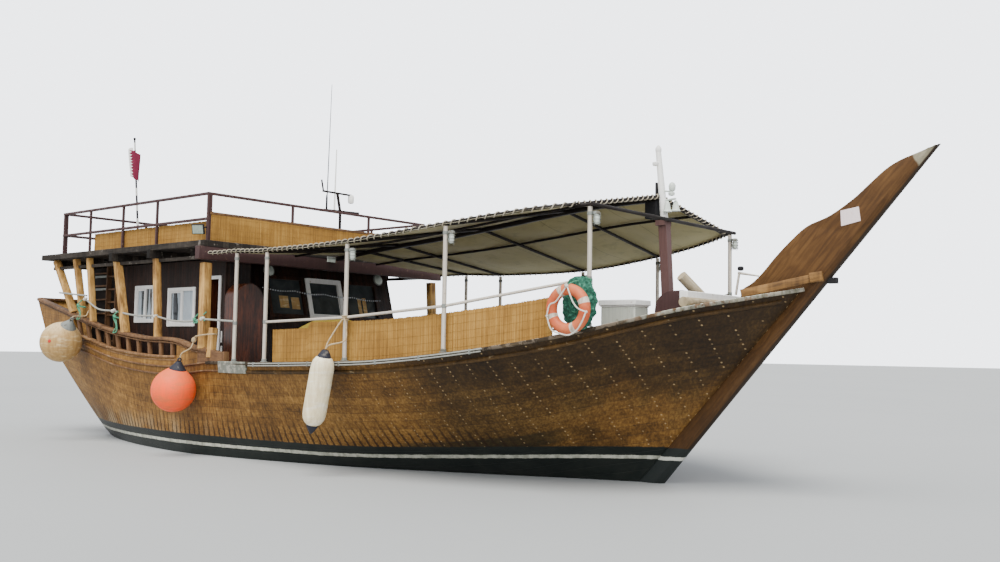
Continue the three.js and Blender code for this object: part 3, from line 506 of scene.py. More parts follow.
class Bench:
    """Adds nodes to one node tree; what is given to a socket is a constant or a Value."""

    def __init__(self, tree):
        self.tree = tree

    def put(self, socket, value):
        if isinstance(value, Value):
            self.tree.links.new(value.socket, socket)
        elif isinstance(value, tuple) and len(value) == 3 and socket.type == "RGBA":
            socket.default_value = (*value, 1.0)
        else:
            socket.default_value = value

    def add(self, kind, out=0, settings=None, **values):
        node = self.tree.nodes.new("ShaderNode" + kind)
        for key, value in (settings or {}).items():
            setattr(node, key, value)
        for key, value in values.items():
            self.put(node.inputs[key.replace("_", " ")], value)
        return Value(self, node.outputs[out])

    def math(self, operation, *values, kind="Math"):
        node = self.tree.nodes.new("ShaderNode" + kind)
        node.operation = operation
        for socket, value in zip(node.inputs, values):
            self.put(socket, value)
        return Value(self, node.outputs[0])

    def mix(self, factor, a, b):
        node = self.tree.nodes.new("ShaderNodeMix")
        node.data_type = "RGBA"
        for index, value in ((0, factor), (6, a), (7, b)):
            self.put(node.inputs[index], value)
        return Value(self, node.outputs[2])

    def ramp(self, value, *stops):
        """Colour ramp; a stop is a position and a colour or a grey."""
        node = self.tree.nodes.new("ShaderNodeValToRGB")
        marks = node.color_ramp.elements
        while len(marks) < len(stops):
            marks.new(0.5)
        for mark, (position, colour) in zip(marks, stops):
            mark.position = position
            mark.color = (*colour, 1.0) if isinstance(colour, tuple) else (colour, colour, colour, 1.0)
        self.put(node.inputs[0], value)
        return Value(self, node.outputs[0])

    def step(self, value, low, high, a=0.0, b=1.0):
        """Soft step: a below low, b above high."""
        return self.add("MapRange", settings={"interpolation_type": "SMOOTHSTEP"}, Value=value, From_Min=low,
                        From_Max=high, To_Min=a, To_Max=b)

    def split(self, vector):
        node = self.tree.nodes.new("ShaderNodeSeparateXYZ")
        self.put(node.inputs[0], vector)
        return [Value(self, out) for out in node.outputs]

    def vector(self, x=0.0, y=0.0, z=0.0):
        return self.add("CombineXYZ", X=x, Y=y, Z=z)

    def shifted(self, vector, by):
        return self.math("ADD", vector, by, kind="VectorMath")

    def stretched(self, vector, scale, turn=(0, 0, 0)):
        return self.add("Mapping", Vector=vector, Scale=scale, Rotation=turn)

    def noise(self, vector, scale, detail=4.0, roughness=0.55, distortion=0.0):
        return self.add("TexNoise", Vector=vector, Scale=scale, Detail=detail, Roughness=roughness,
                        Distortion=distortion)

    def place(self):
        return self.add("TexCoord", out=3)

    def uv(self):
        return self.add("UVMap", settings={"uv_map": "UVMap"})

    def named(self, name):
        return self.add("Attribute", out=2, settings={"attribute_name": name})

    def use(self, group, **values):
        node = self.tree.nodes.new("ShaderNodeGroup")
        node.node_tree = group
        for key, value in values.items():
            self.put(node.inputs[key.replace("_", " ")], value)
        return {out.name: Value(self, out) for out in node.outputs}


def effect(name, inputs, outputs, build):
    """Shader node group with named inputs (name, kind, default) and outputs (name, kind)."""
    tree = bpy.data.node_groups.new(name, "ShaderNodeTree")
    for label, kind, default in inputs:
        socket = tree.interface.new_socket(name=label, in_out="INPUT", socket_type="NodeSocket" + kind)
        if default is not None:
            socket.default_value = default
    for label, kind in outputs:
        tree.interface.new_socket(name=label, in_out="OUTPUT", socket_type="NodeSocket" + kind)
    start, end = tree.nodes.new("NodeGroupInput"), tree.nodes.new("NodeGroupOutput")
    bench = Bench(tree)
    given = {out.name: Value(bench, out) for out in start.outputs}
    for label, value in build(bench, given).items():
        bench.put(end.inputs[label], value)
    return tree


def build_grain(b, given):
    """Long fibres along X: noise stretched 18 times, with finer pores, and slow rings that bend."""
    fine = given["Fineness"] * 9.0
    slim = b.stretched(given["Vector"], (0.055, 1.0, 1.0))
    fibre = b.noise(slim, fine, 5.0, 0.62, 0.25)
    pores = b.noise(b.stretched(given["Vector"], (0.12, 1.0, 1.0)), fine * 6.0, 2.0)
    figure = b.noise(b.stretched(given["Vector"], (0.16, 1.0, 1.0)), given["Fineness"] * 2.2, 2.0)
    rings = b.math("SINE", figure * 42.0)
    tone = fibre * 0.75 + rings * 0.09
    height = fibre * 0.7 + pores * 0.3
    return {"Tone": tone + pores * 0.2, "Height": height}


def build_weather(b, given):
    """Soft patches, streaks that run down, and fine specks, from noise at three scales."""
    place = given["Vector"]
    patch = b.noise(place, given["Scale"], 4.0, 0.6, 0.4)
    broad = b.noise(b.stretched(place, (1.0, 1.0, 0.07)), given["Scale"] * 11.0, 4.0, 0.6)
    speck = b.noise(place, given["Scale"] * 55.0, 2.0)
    return {"Patch": b.step(patch, 0.33, 0.67), "Streak": b.step(broad, 0.36, 0.68),
            "Speck": b.step(speck, 0.58, 0.72)}


def build_boards(b, given):
    """Boards side by side: the distance across is divided by a width, the whole number picks a
    chance for each board, and what is left over marks the seam."""
    count = given["Across"] / given["Width"]
    chance = b.add("TexWhiteNoise", settings={"noise_dimensions": "1D"}, W=b.math("FLOOR", count))
    rest = b.math("FRACT", count)
    edge = b.math("MINIMUM", rest, 1.0 - rest) * given["Width"]
    half = given["Gap"] * 0.5
    seam = b.add("MapRange", Value=edge, From_Min=half * 0.6, From_Max=half * 1.6, To_Min=1.0, To_Max=0.0)
    return {"Seam": seam, "Chance": chance}


def build_nails(b, given):
    """Dots at each whole number of two counts, Along in metres over a pitch and Up in boards, and the
    nearness to the upright line of dots."""
    run = given["Along"] / given["Pitch"]
    near = (b.math("FRACT", run) - 0.5) * given["Pitch"]
    twice = given["Up"] * 2.0
    off = (b.math("FRACT", twice) - 0.5) * given["Spacing"]
    chance = b.add("TexWhiteNoise", settings={"noise_dimensions": "2D"},
                   Vector=b.vector(b.math("FLOOR", run), b.math("FLOOR", twice)))
    away = b.math("SQRT", near * near + off * off)
    dot = b.step(away, given["Size"] * 1.15, given["Size"] * 0.7)
    return {"Dot": dot, "Line": b.step(b.math("ABSOLUTE", near), 0.05, 0.0), "Chance": chance}


def build_wear(b, given):
    """Worn places: a threshold on noise, so that Amount is about the share worn."""
    field = b.noise(given["Vector"], given["Scale"], 6.0, 0.65, 0.3)
    low = 0.66 - given["Amount"] * 0.34
    return {"Mask": b.add("MapRange", Value=field, From_Min=low, From_Max=low + 0.05)}


def build_weave(b, given):
    """Plain weave: two sets of ridges at right angles, each hidden where the other passes over."""
    across = b.split(b.add("VectorMath", settings={"operation": "SCALE"}, Vector=given["Vector"],
                           Scale=given["Threads"]))
    one = b.math("SINE", across[0] * math.pi)
    two = b.math("SINE", across[1] * math.pi)
    return {"Height": one * two * 0.5}


def build_lay(b, given):
    """Rope strands: ridges that wind round as they go along, from UV in metres."""
    run = b.split(given["UV"])
    turn = run[0] / given["Pitch"] + run[1] / given["Girth"]
    ridge = b.math("ABSOLUTE", b.math("SINE", turn * (3.0 * math.pi)))
    return {"Ridge": ridge}


GRAIN = effect("timber grain", [("Vector", "Vector", None), ("Fineness", "Float", 1.0)],
               [("Tone", "Float"), ("Height", "Float")], build_grain)
WEATHER = effect("weathering", [("Vector", "Vector", None), ("Scale", "Float", 1.0)],
                 [("Patch", "Float"), ("Streak", "Float"), ("Speck", "Float")], build_weather)
BOARDS = effect("boards", [("Across", "Float", 0.0), ("Width", "Float", 0.1), ("Gap", "Float", 0.004)],
                [("Seam", "Float"), ("Chance", "Float")], build_boards)
NAILS = effect("nail rows", [("Along", "Float", 0.0), ("Up", "Float", 0.0), ("Pitch", "Float", 0.3),
                             ("Spacing", "Float", 0.08), ("Size", "Float", 0.012)],
               [("Dot", "Float"), ("Line", "Float"), ("Chance", "Float")], build_nails)
WEAR = effect("worn places", [("Vector", "Vector", None), ("Scale", "Float", 4.0), ("Amount", "Float", 0.3)],
              [("Mask", "Float")], build_wear)
WEAVE = effect("plain weave", [("Vector", "Vector", None), ("Threads", "Float", 400.0)],
               [("Height", "Float")], build_weave)
LAY = effect("rope lay", [("UV", "Vector", None), ("Pitch", "Float", 0.05), ("Girth", "Float", 0.05)],
             [("Ridge", "Float")], build_lay)


SHEEN = 0.22


def finish(name, build, **fixed):
    """A material whose Principled inputs come from a build function; Height and Depth make its bump."""
    material = bpy.data.materials.new(name)
    material.use_nodes = True
    b = Bench(material.node_tree)
    shader = material.node_tree.nodes["Principled BSDF"]
    wanted = {"Specular IOR Level": SHEEN, **build(b)}
    height, depth = wanted.pop("Height", None), wanted.pop("Depth", 0.002)
    if height is not None:
        wanted["Normal"] = b.add("Bump", Height=height, Distance=depth, Strength=1.0)
    for key, value in {**wanted, **fixed}.items():
        b.put(shader.inputs[key.replace("_", " ")], value)
    return material


def timber(name, light, mid, dark, grain_axis=0, fineness=3.0, width=None, across=1, gap=0.004, patchy=0.5,
           streaks=0.35, worn=0.0, bare=(0.42, 0.36, 0.28), rough=0.6, uv=False, coat=0.0):
    """Timber of three colours, with boards of a width if one is given, patches, streaks and bare wear."""
    def build(b):
        place = b.uv() if uv else b.place()
        parts = b.split(place)
        order = [grain_axis] + [k for k in (0, 1, 2) if k != grain_axis]
        if width:
            boards = b.use(BOARDS, Across=parts[across], Width=width, Gap=gap)
            seam, shift = boards["Seam"], boards["Chance"]
        fibres = b.vector(*[parts[k] for k in order])
        if width:
            fibres = b.shifted(fibres, b.vector(shift * 31.0, shift * 17.0))
        grain = b.use(GRAIN, Vector=fibres, Fineness=fineness)
        weather = b.use(WEATHER, Vector=b.place(), Scale=1.3)
        tone = (weather["Patch"] * (patchy * 0.5) + weather["Streak"] * (streaks * 0.5)
                + grain["Tone"] * 0.75 + (b.named("tone") - 0.5) * 0.35)
        if width:
            tone = tone + (shift - 0.5) * 0.3
        colour = b.ramp(tone, (0.22, dark), (0.55, mid), (0.95, light))
        height = grain["Height"]
        roughness = rough - 0.12 + grain["Height"] * 0.25
        if worn:
            wear = b.use(WEAR, Vector=place, Scale=5.0, Amount=worn)
            colour = b.mix(wear["Mask"] * 0.8, colour, bare)
            roughness = roughness + wear["Mask"] * 0.15
        if width:
            colour = b.mix(seam * 0.85, colour, tuple(0.25 * c for c in dark))
            height = height * 0.35 - seam
        return {"Base Color": colour, "Roughness": roughness, "Height": height,
                "Depth": 0.00375 if width else 0.0015}
    return finish(name, build, Coat_Weight=coat, Coat_Roughness=0.25)


def painted(name, colour, chip=(0.25, 0.13, 0.07), amount=0.12, rough=0.42, metal=0.0, faded=0.3, scale=9.0,
            streaks=0.3):
    """Paint with fading, dirt that runs down, and chips that show what is under it."""
    def build(b):
        place = b.place()
        weather = b.use(WEATHER, Vector=place, Scale=2.2)
        wear = b.use(WEAR, Vector=place, Scale=scale, Amount=amount)
        pale = tuple(c + (0.6 - c) * faded * 0.6 for c in colour)
        shade = b.mix(weather["Patch"] * faded, colour, pale)
        shade = b.mix(weather["Streak"] * streaks, shade, tuple(c * 0.45 for c in colour))
        shade = b.mix(wear["Mask"] * 0.85, shade, chip)
        fine = b.noise(place, 160.0, 2.0)
        height = fine * 0.12 - wear["Mask"] * 0.6
        roughness = rough + (wear["Mask"] + weather["Patch"]) * 0.16
        return {"Base Color": shade, "Roughness": roughness, "Height": height, "Depth": 0.0006}
    return finish(name, build, Metallic=metal)


def stripe(b, height):
    """Mask of the white stripe, 6 cm wide."""
    return b.step(height, 0.034, 0.026) * b.step(height, -0.034, -0.026)


def build_hull(b):
    """Varnished planks: golden where the varnish holds, brown where it is old, near black forward,
    with painted shade over the upper planking towards the bow, nail rows, rust-dark ticks above the
    boot top and a white stripe between two dark bands. The tone is the height above the stripe."""
    place, uv = b.place(), b.uv()
    x, _, z = b.split(place)[:3]
    run, board = b.split(uv)[:2]
    above = b.named("tone")
    boards = b.use(BOARDS, Across=board, Width=1.0, Gap=0.05)
    slip = boards["Chance"] * 37.0
    grain = b.use(GRAIN, Vector=b.vector(run + slip, board * 0.16, slip), Fineness=3.2)
    weather = b.use(WEATHER, Vector=place, Scale=0.75)
    fine = b.use(WEATHER, Vector=place, Scale=2.6)
    mottle = b.noise(b.stretched(place, (1.0, 1.0, 0.45)), 9.0, 5.0, 0.7, 0.4)
    tone = (weather["Patch"] * 0.26 + grain["Tone"] * 0.26 + fine["Streak"] * 0.22 + (mottle - 0.16) * 0.5
            + (boards["Chance"] - 0.5) * 0.1)
    sun = b.ramp(tone, (0.2, (0.06, 0.027, 0.006)), (0.5, (0.175, 0.083, 0.018)), (0.72, (0.3, 0.155, 0.036)),
                 (0.95, (0.46, 0.28, 0.09)))
    old = b.ramp(tone, (0.25, (0.008, 0.004, 0.0012)), (0.55, (0.036, 0.0195, 0.005)),
                 (0.9, (0.115, 0.063, 0.017)))
    wander = (weather["Patch"] - 0.5) * 0.9
    ahead = x + wander
    fore = b.step(ahead, 2.1, 3.7)
    gold = b.step(ahead, 4.3, 5.6) * b.step(z + wander, 1.75, 0.8)
    fore = fore * (1.0 - gold * 0.8)
    middle = b.step(ahead, -5.0, -1.0) * 0.24
    colour = b.mix(b.math("MAXIMUM", fore * 0.9, middle), sun, old)
    stretch = b.step(x, 1.6, 2.3) * b.step(x, 5.0, 4.4)
    dark_board = b.step(b.math("ABSOLUTE", board - 13.4), 1.0, 0.55) * stretch
    colour = b.mix(dark_board * 0.7, colour, (0.008, 0.009, 0.004))
    # Painted shade: the upper planking towards the bow is darkened to near black.
    painted_bow_shade = b.step(ahead, 1.5, 4.0) * b.step(above, 0.7, 1.9, 0.0, 0.5)
    colour = b.mix(painted_bow_shade, colour, (0.01, 0.006, 0.0035))
    bleach = b.step(above, 0.62, 0.2) * b.step(x, -1.0, -4.5)
    bleach = bleach * b.step(b.noise(b.stretched(place, (1, 1, 0.25)), 2.4, 3.0), 0.42, 0.62)
    colour = b.mix(bleach * 0.6, colour, (0.36, 0.27, 0.15))
    nails = b.use(NAILS, Along=run, Up=board, Pitch=0.33, Spacing=0.075, Size=0.0125)
    jitter = (b.noise(place, 11.0, 3.0) - 0.5) * 0.07
    ticks = b.use(NAILS, Along=run + jitter, Up=board, Pitch=0.15, Spacing=0.034, Size=0.026)
    low = b.step(above, 0.85, 0.2) * b.step(x, 5.2, 3.4)
    high = b.step(above, 2.2, 0.7, 0.0, 0.4) * b.step(x, 4.0, 1.5)
    sparse = b.step(ticks["Chance"] + low, 0.55, 0.95)
    tick = ticks["Dot"] * b.math("MAXIMUM", low, high) * sparse
    run_down = ticks["Line"] * low * (fine["Streak"] * 0.2)
    colour = b.mix(b.math("MAXIMUM", tick * 0.88, run_down), colour, (0.02, 0.009, 0.003))
    chance = nails["Chance"]
    shiny = nails["Dot"] * b.step(chance, 0.22, 0.3)
    bright = shiny * b.step(x, 0.0, 3.0, 0.12, 0.75) * b.step(chance, 0.3, 1.0, 0.45, 1.0)
    colour = b.mix(bright, colour, (0.4, 0.28, 0.14))
    speck = fine["Speck"] * 0.5
    colour = b.mix(speck, colour, (0.028, 0.013, 0.004))
    seam = boards["Seam"] * b.step(b.noise(place, 1.7, 3.0), 0.4, 0.62, 0.1, 0.5)
    colour = b.mix(seam, colour, (0.014, 0.007, 0.003))
    rough_edge = above + (b.noise(place, 7.0, 5.0, 0.7) - 0.5) * 0.035
    band = b.mix(fine["Patch"] * 0.6, (0.006, 0.009, 0.008), (0.016, 0.019, 0.016))
    colour = b.mix(b.step(rough_edge, 0.185, 0.165), colour, band)
    white = stripe(b, rough_edge)
    dirt = b.mix(weather["Streak"] * 0.7, (0.52, 0.52, 0.44), (0.16, 0.17, 0.13))
    colour = b.mix(white * 0.92, colour, dirt)
    deep = b.step(z, -0.02, -0.25)
    slime = b.mix(fine["Patch"], (0.03, 0.034, 0.024), (0.075, 0.07, 0.045))
    colour = b.mix(deep * 0.85, colour, slime)
    rough = b.step(above, 0.16, 0.2, 0.38, 0.56) + grain["Height"] * 0.14
    height = grain["Height"] * 0.3 - boards["Seam"] * 0.8 + shiny * -0.25
    return {"Base Color": colour, "Roughness": rough, "Height": height, "Depth": 0.004}


def build_reed(b):
    """Reeds of many straw colours, darker at their nodes, in the shade below each thread."""
    place = b.place()
    tone = b.named("tone")
    weather = b.use(WEATHER, Vector=place, Scale=1.8)
    length = b.noise(b.stretched(place, (60.0, 60.0, 3.0)), 1.0, 3.0)
    value = tone * 0.42 + length * 0.58 + (weather["Patch"] - 0.5) * 0.22
    colour = b.ramp(value, (0.15, (0.15, 0.07, 0.013)), (0.5, (0.27, 0.138, 0.026)),
                    (0.85, (0.4, 0.23, 0.055)))
    return {"Base Color": colour, "Roughness": 0.62, "Height": length, "Depth": 0.0008}


def build_canvas(b):
    """Coated canvas: olive tan, sun-bleached above, with a fine weave, creases and water marks. Its
    underside is a pale khaki brightened as painted light, for daylight through the cloth and light from below.
    """
    place = b.place()
    weave = b.use(WEAVE, Vector=b.uv(), Threads=320.0)
    weather = b.use(WEATHER, Vector=place, Scale=0.7)
    marks = b.noise(place, 3.2, 6.0, 0.65, 0.8)
    # Underside colour raised as painted light, for daylight through the cloth and light from below.
    under = b.mix(weather["Patch"], (0.43, 0.375, 0.17), (0.5, 0.44, 0.21))
    over = b.mix(weather["Patch"], (0.42, 0.4, 0.32), (0.56, 0.54, 0.46))
    up = b.split(b.add("NewGeometry", out=1))[2]
    colour = b.mix(b.step(up, -0.1, 0.1), under, over)
    colour = b.mix(b.step(marks, 0.52, 0.7) * 0.35, colour, (0.17, 0.15, 0.09))
    seam = b.use(BOARDS, Across=b.split(b.uv())[1], Width=1.5, Gap=0.012)
    colour = b.mix(seam["Seam"] * 0.6, colour, (0.12, 0.105, 0.065))
    height = weave["Height"] * 0.2 + seam["Seam"] * 0.8
    return {"Base Color": colour, "Roughness": 0.7, "Height": height, "Depth": 0.0012}


def rope(name, colour, shade, girth=0.05, pitch=0.045):
    """Laid rope: three strands, patches of grime, and painted shade in the hollows between them."""
    def build(b):
        ridge = b.use(LAY, UV=b.uv(), Pitch=pitch, Girth=girth)["Ridge"]
        grime = b.noise(b.place(), 18.0, 4.0)
        tint = b.mix(b.step(grime, 0.4, 0.7, 0.0, 0.6), colour, shade)
        # Painted shade: the hollows between the strands are darkened.
        tint = b.mix(b.step(ridge, 0.45, 0.05, 0.0, 0.8), tint, tuple(c * 0.4 for c in shade))
        return {"Base Color": tint, "Roughness": 0.85, "Height": ridge, "Depth": 0.003}
    return finish(name, build)


def skin(name, colour, faded, scuff):
    """Vinyl of a fender: a crown paled towards the faded colour as painted light on its upper side, scuffs across it
    and grime that has run down.
    """
    def build(b):
        place = b.place()
        weather = b.use(WEATHER, Vector=place, Scale=1.6)
        rub = b.noise(b.stretched(place, (1.0, 1.0, 5.0), (0.0, 0.35, 0.0)), 2.6, 5.0, 0.6, 0.5)
        # Painted light: faces turned upwards are paled towards the faded colour.
        painted_top_light = b.step(b.split(b.add("NewGeometry", out=1))[2], 0.1, 0.85, 0.0, 0.55)
        shade = b.mix(b.math("MAXIMUM", b.step(rub, 0.47, 0.66, 0.0, 0.6), painted_top_light), colour, faded)
        shade = b.mix(weather["Streak"] * 0.35, shade, scuff)
        shade = b.mix(weather["Speck"] * 0.3, shade, scuff)
        fine = b.noise(place, 90.0, 3.0)
        return {"Base Color": shade, "Roughness": b.step(rub, 0.3, 0.7, 0.42, 0.67), "Height": fine,
                "Depth": 0.0006}
    return finish(name, build)


def build_buoy(b):
    """Orange vinyl ring with four white bands at a share of the turn."""
    place = b.place()
    turn = b.split(b.uv())[0]
    quarter = b.math("ABSOLUTE", b.math("FRACT", turn * 4.0 + 0.744) - 0.5)
    band = b.step(quarter, 0.082, 0.076)
    edge = b.step(quarter, 0.1, 0.082) * b.step(quarter, 0.066, 0.076)
    weather = b.use(WEATHER, Vector=place, Scale=3.0)
    orange = b.mix(weather["Patch"], (0.47, 0.085, 0.03), (0.58, 0.15, 0.06))
    white = b.mix(weather["Streak"], (0.6, 0.54, 0.46), (0.36, 0.3, 0.23))
    colour = b.mix(band, orange, white)
    colour = b.mix(weather["Speck"] * 0.35, colour, (0.22, 0.12, 0.07))
    height = edge * 0.7 + b.noise(place, 120.0, 2.0) * 0.15
    return {"Base Color": colour, "Roughness": 0.5, "Height": height, "Depth": 0.0015}


def build_flag(b):
    """Thin cloth: a pale hoist, a maroon fly and a toothed edge between them."""
    uv = b.split(b.uv())
    tooth = b.math("PINGPONG", uv[1], 0.039)
    edge = uv[0] - (0.3 + tooth * 2.0)
    maroon = b.mix(b.noise(b.place(), 9.0, 3.0), (0.1, 0.004, 0.02), (0.17, 0.012, 0.04))
    colour = b.mix(b.step(edge, -0.002, 0.002), (0.72, 0.7, 0.68), maroon)
    weave = b.use(WEAVE, Vector=b.uv(), Threads=500.0)
    return {"Base Color": colour, "Roughness": 0.75, "Height": weave["Height"], "Depth": 0.0006}


def build_staff(b):
    """Black and white bands along the staff."""
    z = b.split(b.place())[2]
    band = b.math("FRACT", z / 0.36)
    pale = b.mix(b.noise(b.place(), 14.0, 4.0), (0.66, 0.66, 0.63), (0.45, 0.44, 0.41))
    colour = b.mix(b.step(band, 0.49, 0.5), (0.018, 0.018, 0.02), pale)
    return {"Base Color": colour, "Roughness": 0.4, "Height": b.noise(b.place(), 40.0, 3.0), "Depth": 0.0005}


def build_net(b):
    """Green twine: many shades, frayed."""
    shade = b.noise(b.place(), 22.0, 4.0)
    colour = b.ramp(shade, (0.3, (0.008, 0.035, 0.024)), (0.55, (0.02, 0.11, 0.07)),
                    (0.8, (0.12, 0.35, 0.25)))
    return {"Base Color": colour, "Roughness": 0.8, "Height": b.noise(b.place(), 150.0, 2.0), "Depth": 0.002}


def build_stem(b):
    """Stem board: red-brown timber whose grain runs up the rake, a dark worn leading edge and a
    pale, bare tip."""
    place = b.place()
    raked = b.add("Mapping", Vector=place, Rotation=(0.0, math.radians(49.4), 0.0))
    grain = b.use(GRAIN, Vector=raked, Fineness=2.6)
    weather = b.use(WEATHER, Vector=place, Scale=0.9)
    slim = b.noise(b.stretched(raked, (0.12, 1.6, 1.6)), 1.5, 4.0, 0.6)
    tone = grain["Tone"] * 0.55 + slim * 0.5 + (weather["Patch"] - 0.5) * 0.12
    colour = b.ramp(tone, (0.25, (0.024, 0.01, 0.003)), (0.5, (0.072, 0.032, 0.0085)),
                    (0.72, (0.122, 0.059, 0.017)), (0.92, (0.2, 0.108, 0.037)))
    x, _, z = b.split(place)[:3]
    lead = STEM_FOOT + z * STEM_SLOPE - x
    low = b.step(z, 2.6, 2.0)
    colour = b.mix(low * (0.25 + weather["Streak"] * 0.3), colour, (0.035, 0.017, 0.006))
    edge = x + (b.noise(place, 9.0, 4.0) - 0.5) * 0.12
    tip = b.step(edge + z * 0.35, 11.66, 11.7)
    grey = b.mix(grain["Tone"], (0.16, 0.14, 0.09), (0.42, 0.38, 0.27))
    colour = b.mix(tip, colour, grey)
    colour = b.mix(b.step(lead, 0.05, 0.02), colour, (0.022, 0.013, 0.007))
    rough_edge = z - 0.42 + (b.noise(place, 7.0, 5.0) - 0.5) * 0.04
    colour = b.mix(b.step(rough_edge, 0.185, 0.165), colour, (0.014, 0.018, 0.017))
    white = stripe(b, rough_edge)
    colour = b.mix(white * 0.9, colour, (0.55, 0.56, 0.5))
    rough = b.step(rough_edge, 0.165, 0.185, 0.38, 0.5) + grain["Height"] * 0.16
    return {"Base Color": colour, "Roughness": rough, "Height": grain["Height"], "Depth": 0.002}


def build_deck(b):
    """Scrubbed deck planks with black seams."""
    place = b.place()
    across = b.split(place)[1]
    boards = b.use(BOARDS, Across=across, Width=0.14, Gap=0.008)
    slip = boards["Chance"] * 23.0
    grain = b.use(GRAIN, Vector=b.shifted(place, b.vector(slip, slip)), Fineness=3.0)
    weather = b.use(WEATHER, Vector=place, Scale=0.9)
    tone = grain["Tone"] * 0.6 + weather["Patch"] * 0.25 + boards["Chance"] * 0.15
    colour = b.ramp(tone, (0.2, (0.09, 0.066, 0.042)), (0.55, (0.2, 0.16, 0.11)), (0.9, (0.33, 0.28, 0.21)))
    colour = b.mix(boards["Seam"], colour, (0.02, 0.018, 0.015))
    height = grain["Height"] * 0.3 - boards["Seam"]
    return {"Base Color": colour, "Roughness": 0.78, "Height": height, "Depth": 0.003}


def build_pane(b):
    """Window glass, faintly green, with dust that has dried on it."""
    dust = b.use(WEATHER, Vector=b.place(), Scale=3.0)
    return {"Base Color": b.mix(dust["Patch"] * 0.3, (0.035, 0.042, 0.045), (0.12, 0.13, 0.13)),
            "Roughness": b.step(dust["Streak"], 0.2, 0.9, 0.06, 0.22),
            "Height": b.noise(b.place(), 2.5, 2.0), "Depth": 0.002}


def build_curtain(b):
    """Window glass with pale curtains behind it and dark gaps between them."""
    fall = b.noise(b.stretched(b.place(), (7.0, 7.0, 0.5)), 1.0, 3.0, 0.5, 0.3)
    pale = b.mix(b.noise(b.place(), 3.0, 3.0), (0.27, 0.33, 0.39), (0.5, 0.56, 0.6))
    return {"Base Color": b.mix(b.step(fall, 0.53, 0.57), pale, (0.02, 0.024, 0.028)), "Roughness": 0.12,
            "Height": b.noise(b.place(), 2.5, 2.0), "Depth": 0.002}


def build_cap(b):
    """Gunwale timber: dark and greenish amidships, pale and worn forward, then chipped white paint."""
    place = b.place()
    x = b.split(place)[0]
    grain = b.use(GRAIN, Vector=b.uv(), Fineness=4.0)
    weather = b.use(WEATHER, Vector=place, Scale=2.2)
    tone = grain["Tone"] * 0.6 + weather["Patch"] * 0.35
    wood = b.ramp(tone, (0.2, (0.009, 0.006, 0.003)), (0.5, (0.033, 0.022, 0.011)), (0.9, (0.1, 0.072, 0.04)))
    worn = b.use(WEAR, Vector=place, Scale=6.0, Amount=0.5)["Mask"]
    top = b.step(b.split(b.add("NewGeometry", out=1))[2], 0.3, 0.8, 0.25, 1.0)
    colour = b.mix(worn * top * b.step(x, 3.6, 5.0, 0.2, 0.9), wood, (0.36, 0.29, 0.22))
    paint = b.mix(weather["Streak"], (0.62, 0.63, 0.55), (0.27, 0.3, 0.22))
    chips = b.use(WEAR, Vector=place, Scale=4.0, Amount=0.4)["Mask"]
    paint = b.mix(chips, paint, (0.2, 0.11, 0.05))
    colour = b.mix(b.step(x, 6.2, 6.7) * top, colour, paint)
    return {"Base Color": colour, "Roughness": 0.7, "Height": grain["Height"], "Depth": 0.002}


def build_bronze(b):
    """Bronze under water: brown, green where it has weathered."""
    green = b.use(WEAR, Vector=b.place(), Scale=7.0, Amount=0.45)
    colour = b.mix(green["Mask"], (0.33, 0.21, 0.09), (0.12, 0.2, 0.14))
    return {"Base Color": colour, "Roughness": b.step(green["Mask"], 0.0, 1.0, 0.35, 0.75),
            "Metallic": b.step(green["Mask"], 0.0, 1.0, 0.85, 0.1), "Height": b.noise(b.place(), 60.0, 4.0),
            "Depth": 0.001}


def build_fouled(b):
    """Timber below the water: dark paint under a thin growth."""
    weather = b.use(WEATHER, Vector=b.place(), Scale=2.4)
    z = b.split(b.place())[2]
    colour = b.mix(weather["Patch"], (0.03, 0.034, 0.024), (0.075, 0.07, 0.045))
    colour = b.mix(weather["Speck"] * 0.5, colour, (0.2, 0.19, 0.14))
    colour = b.mix(b.step(z, -0.25, 0.0), colour, (0.013, 0.016, 0.016))
    return {"Base Color": colour, "Roughness": 0.7, "Height": b.noise(b.place(), 26.0, 5.0), "Depth": 0.004}


def build_floor(b):
    shade = b.noise(b.place(), 0.08, 3.0)
    return {"Base Color": b.mix(shade, (0.35, 0.365, 0.37), (0.4, 0.415, 0.42)), "Roughness": 0.6,
            "Height": b.noise(b.place(), 3.0, 3.0), "Depth": 0.001}


HULL = finish("varnished planking", build_hull)
STEM = finish("stem board", build_stem)
DECK = finish("scrubbed deck", build_deck)
HULL_TRIM = timber("hull trim", (0.12, 0.063, 0.017), (0.055, 0.029, 0.0085), (0.014, 0.008, 0.003), uv=True,
                   fineness=4.0, worn=0.12, bare=(0.22, 0.17, 0.1))
REED = finish("reeds", build_reed)
CANVAS = finish("canopy canvas", build_canvas, Sheen_Weight=0.1)
BUOY_SKIN = finish("lifebuoy skin", build_buoy)
FLAG_CLOTH = finish("flag cloth", build_flag)
BANDED = finish("banded staff", build_staff)
NET = finish("green net", build_net)
PANE = finish("dusty glass", build_pane, Specular_IOR_Level=0.4)
CURTAIN = finish("curtained glass", build_curtain, Specular_IOR_Level=0.5)
BRONZE = finish("sea bronze", build_bronze)
FOULED = finish("fouled bottom", build_fouled)
CAP_WOOD = finish("gunwale cap", build_cap)
RAIL_WOOD = timber("weathered rail", (0.22, 0.12, 0.055), (0.108, 0.054, 0.024), (0.03, 0.014, 0.006),
                   worn=0.2, bare=(0.2, 0.13, 0.075), uv=True, fineness=4.0)
SIDE_WOOD = timber("upper planking", (0.29, 0.165, 0.075), (0.155, 0.08, 0.034), (0.055, 0.026, 0.011),
                   worn=0.15, bare=(0.28, 0.19, 0.11), width=0.17, across=2, gap=0.006, streaks=0.5)
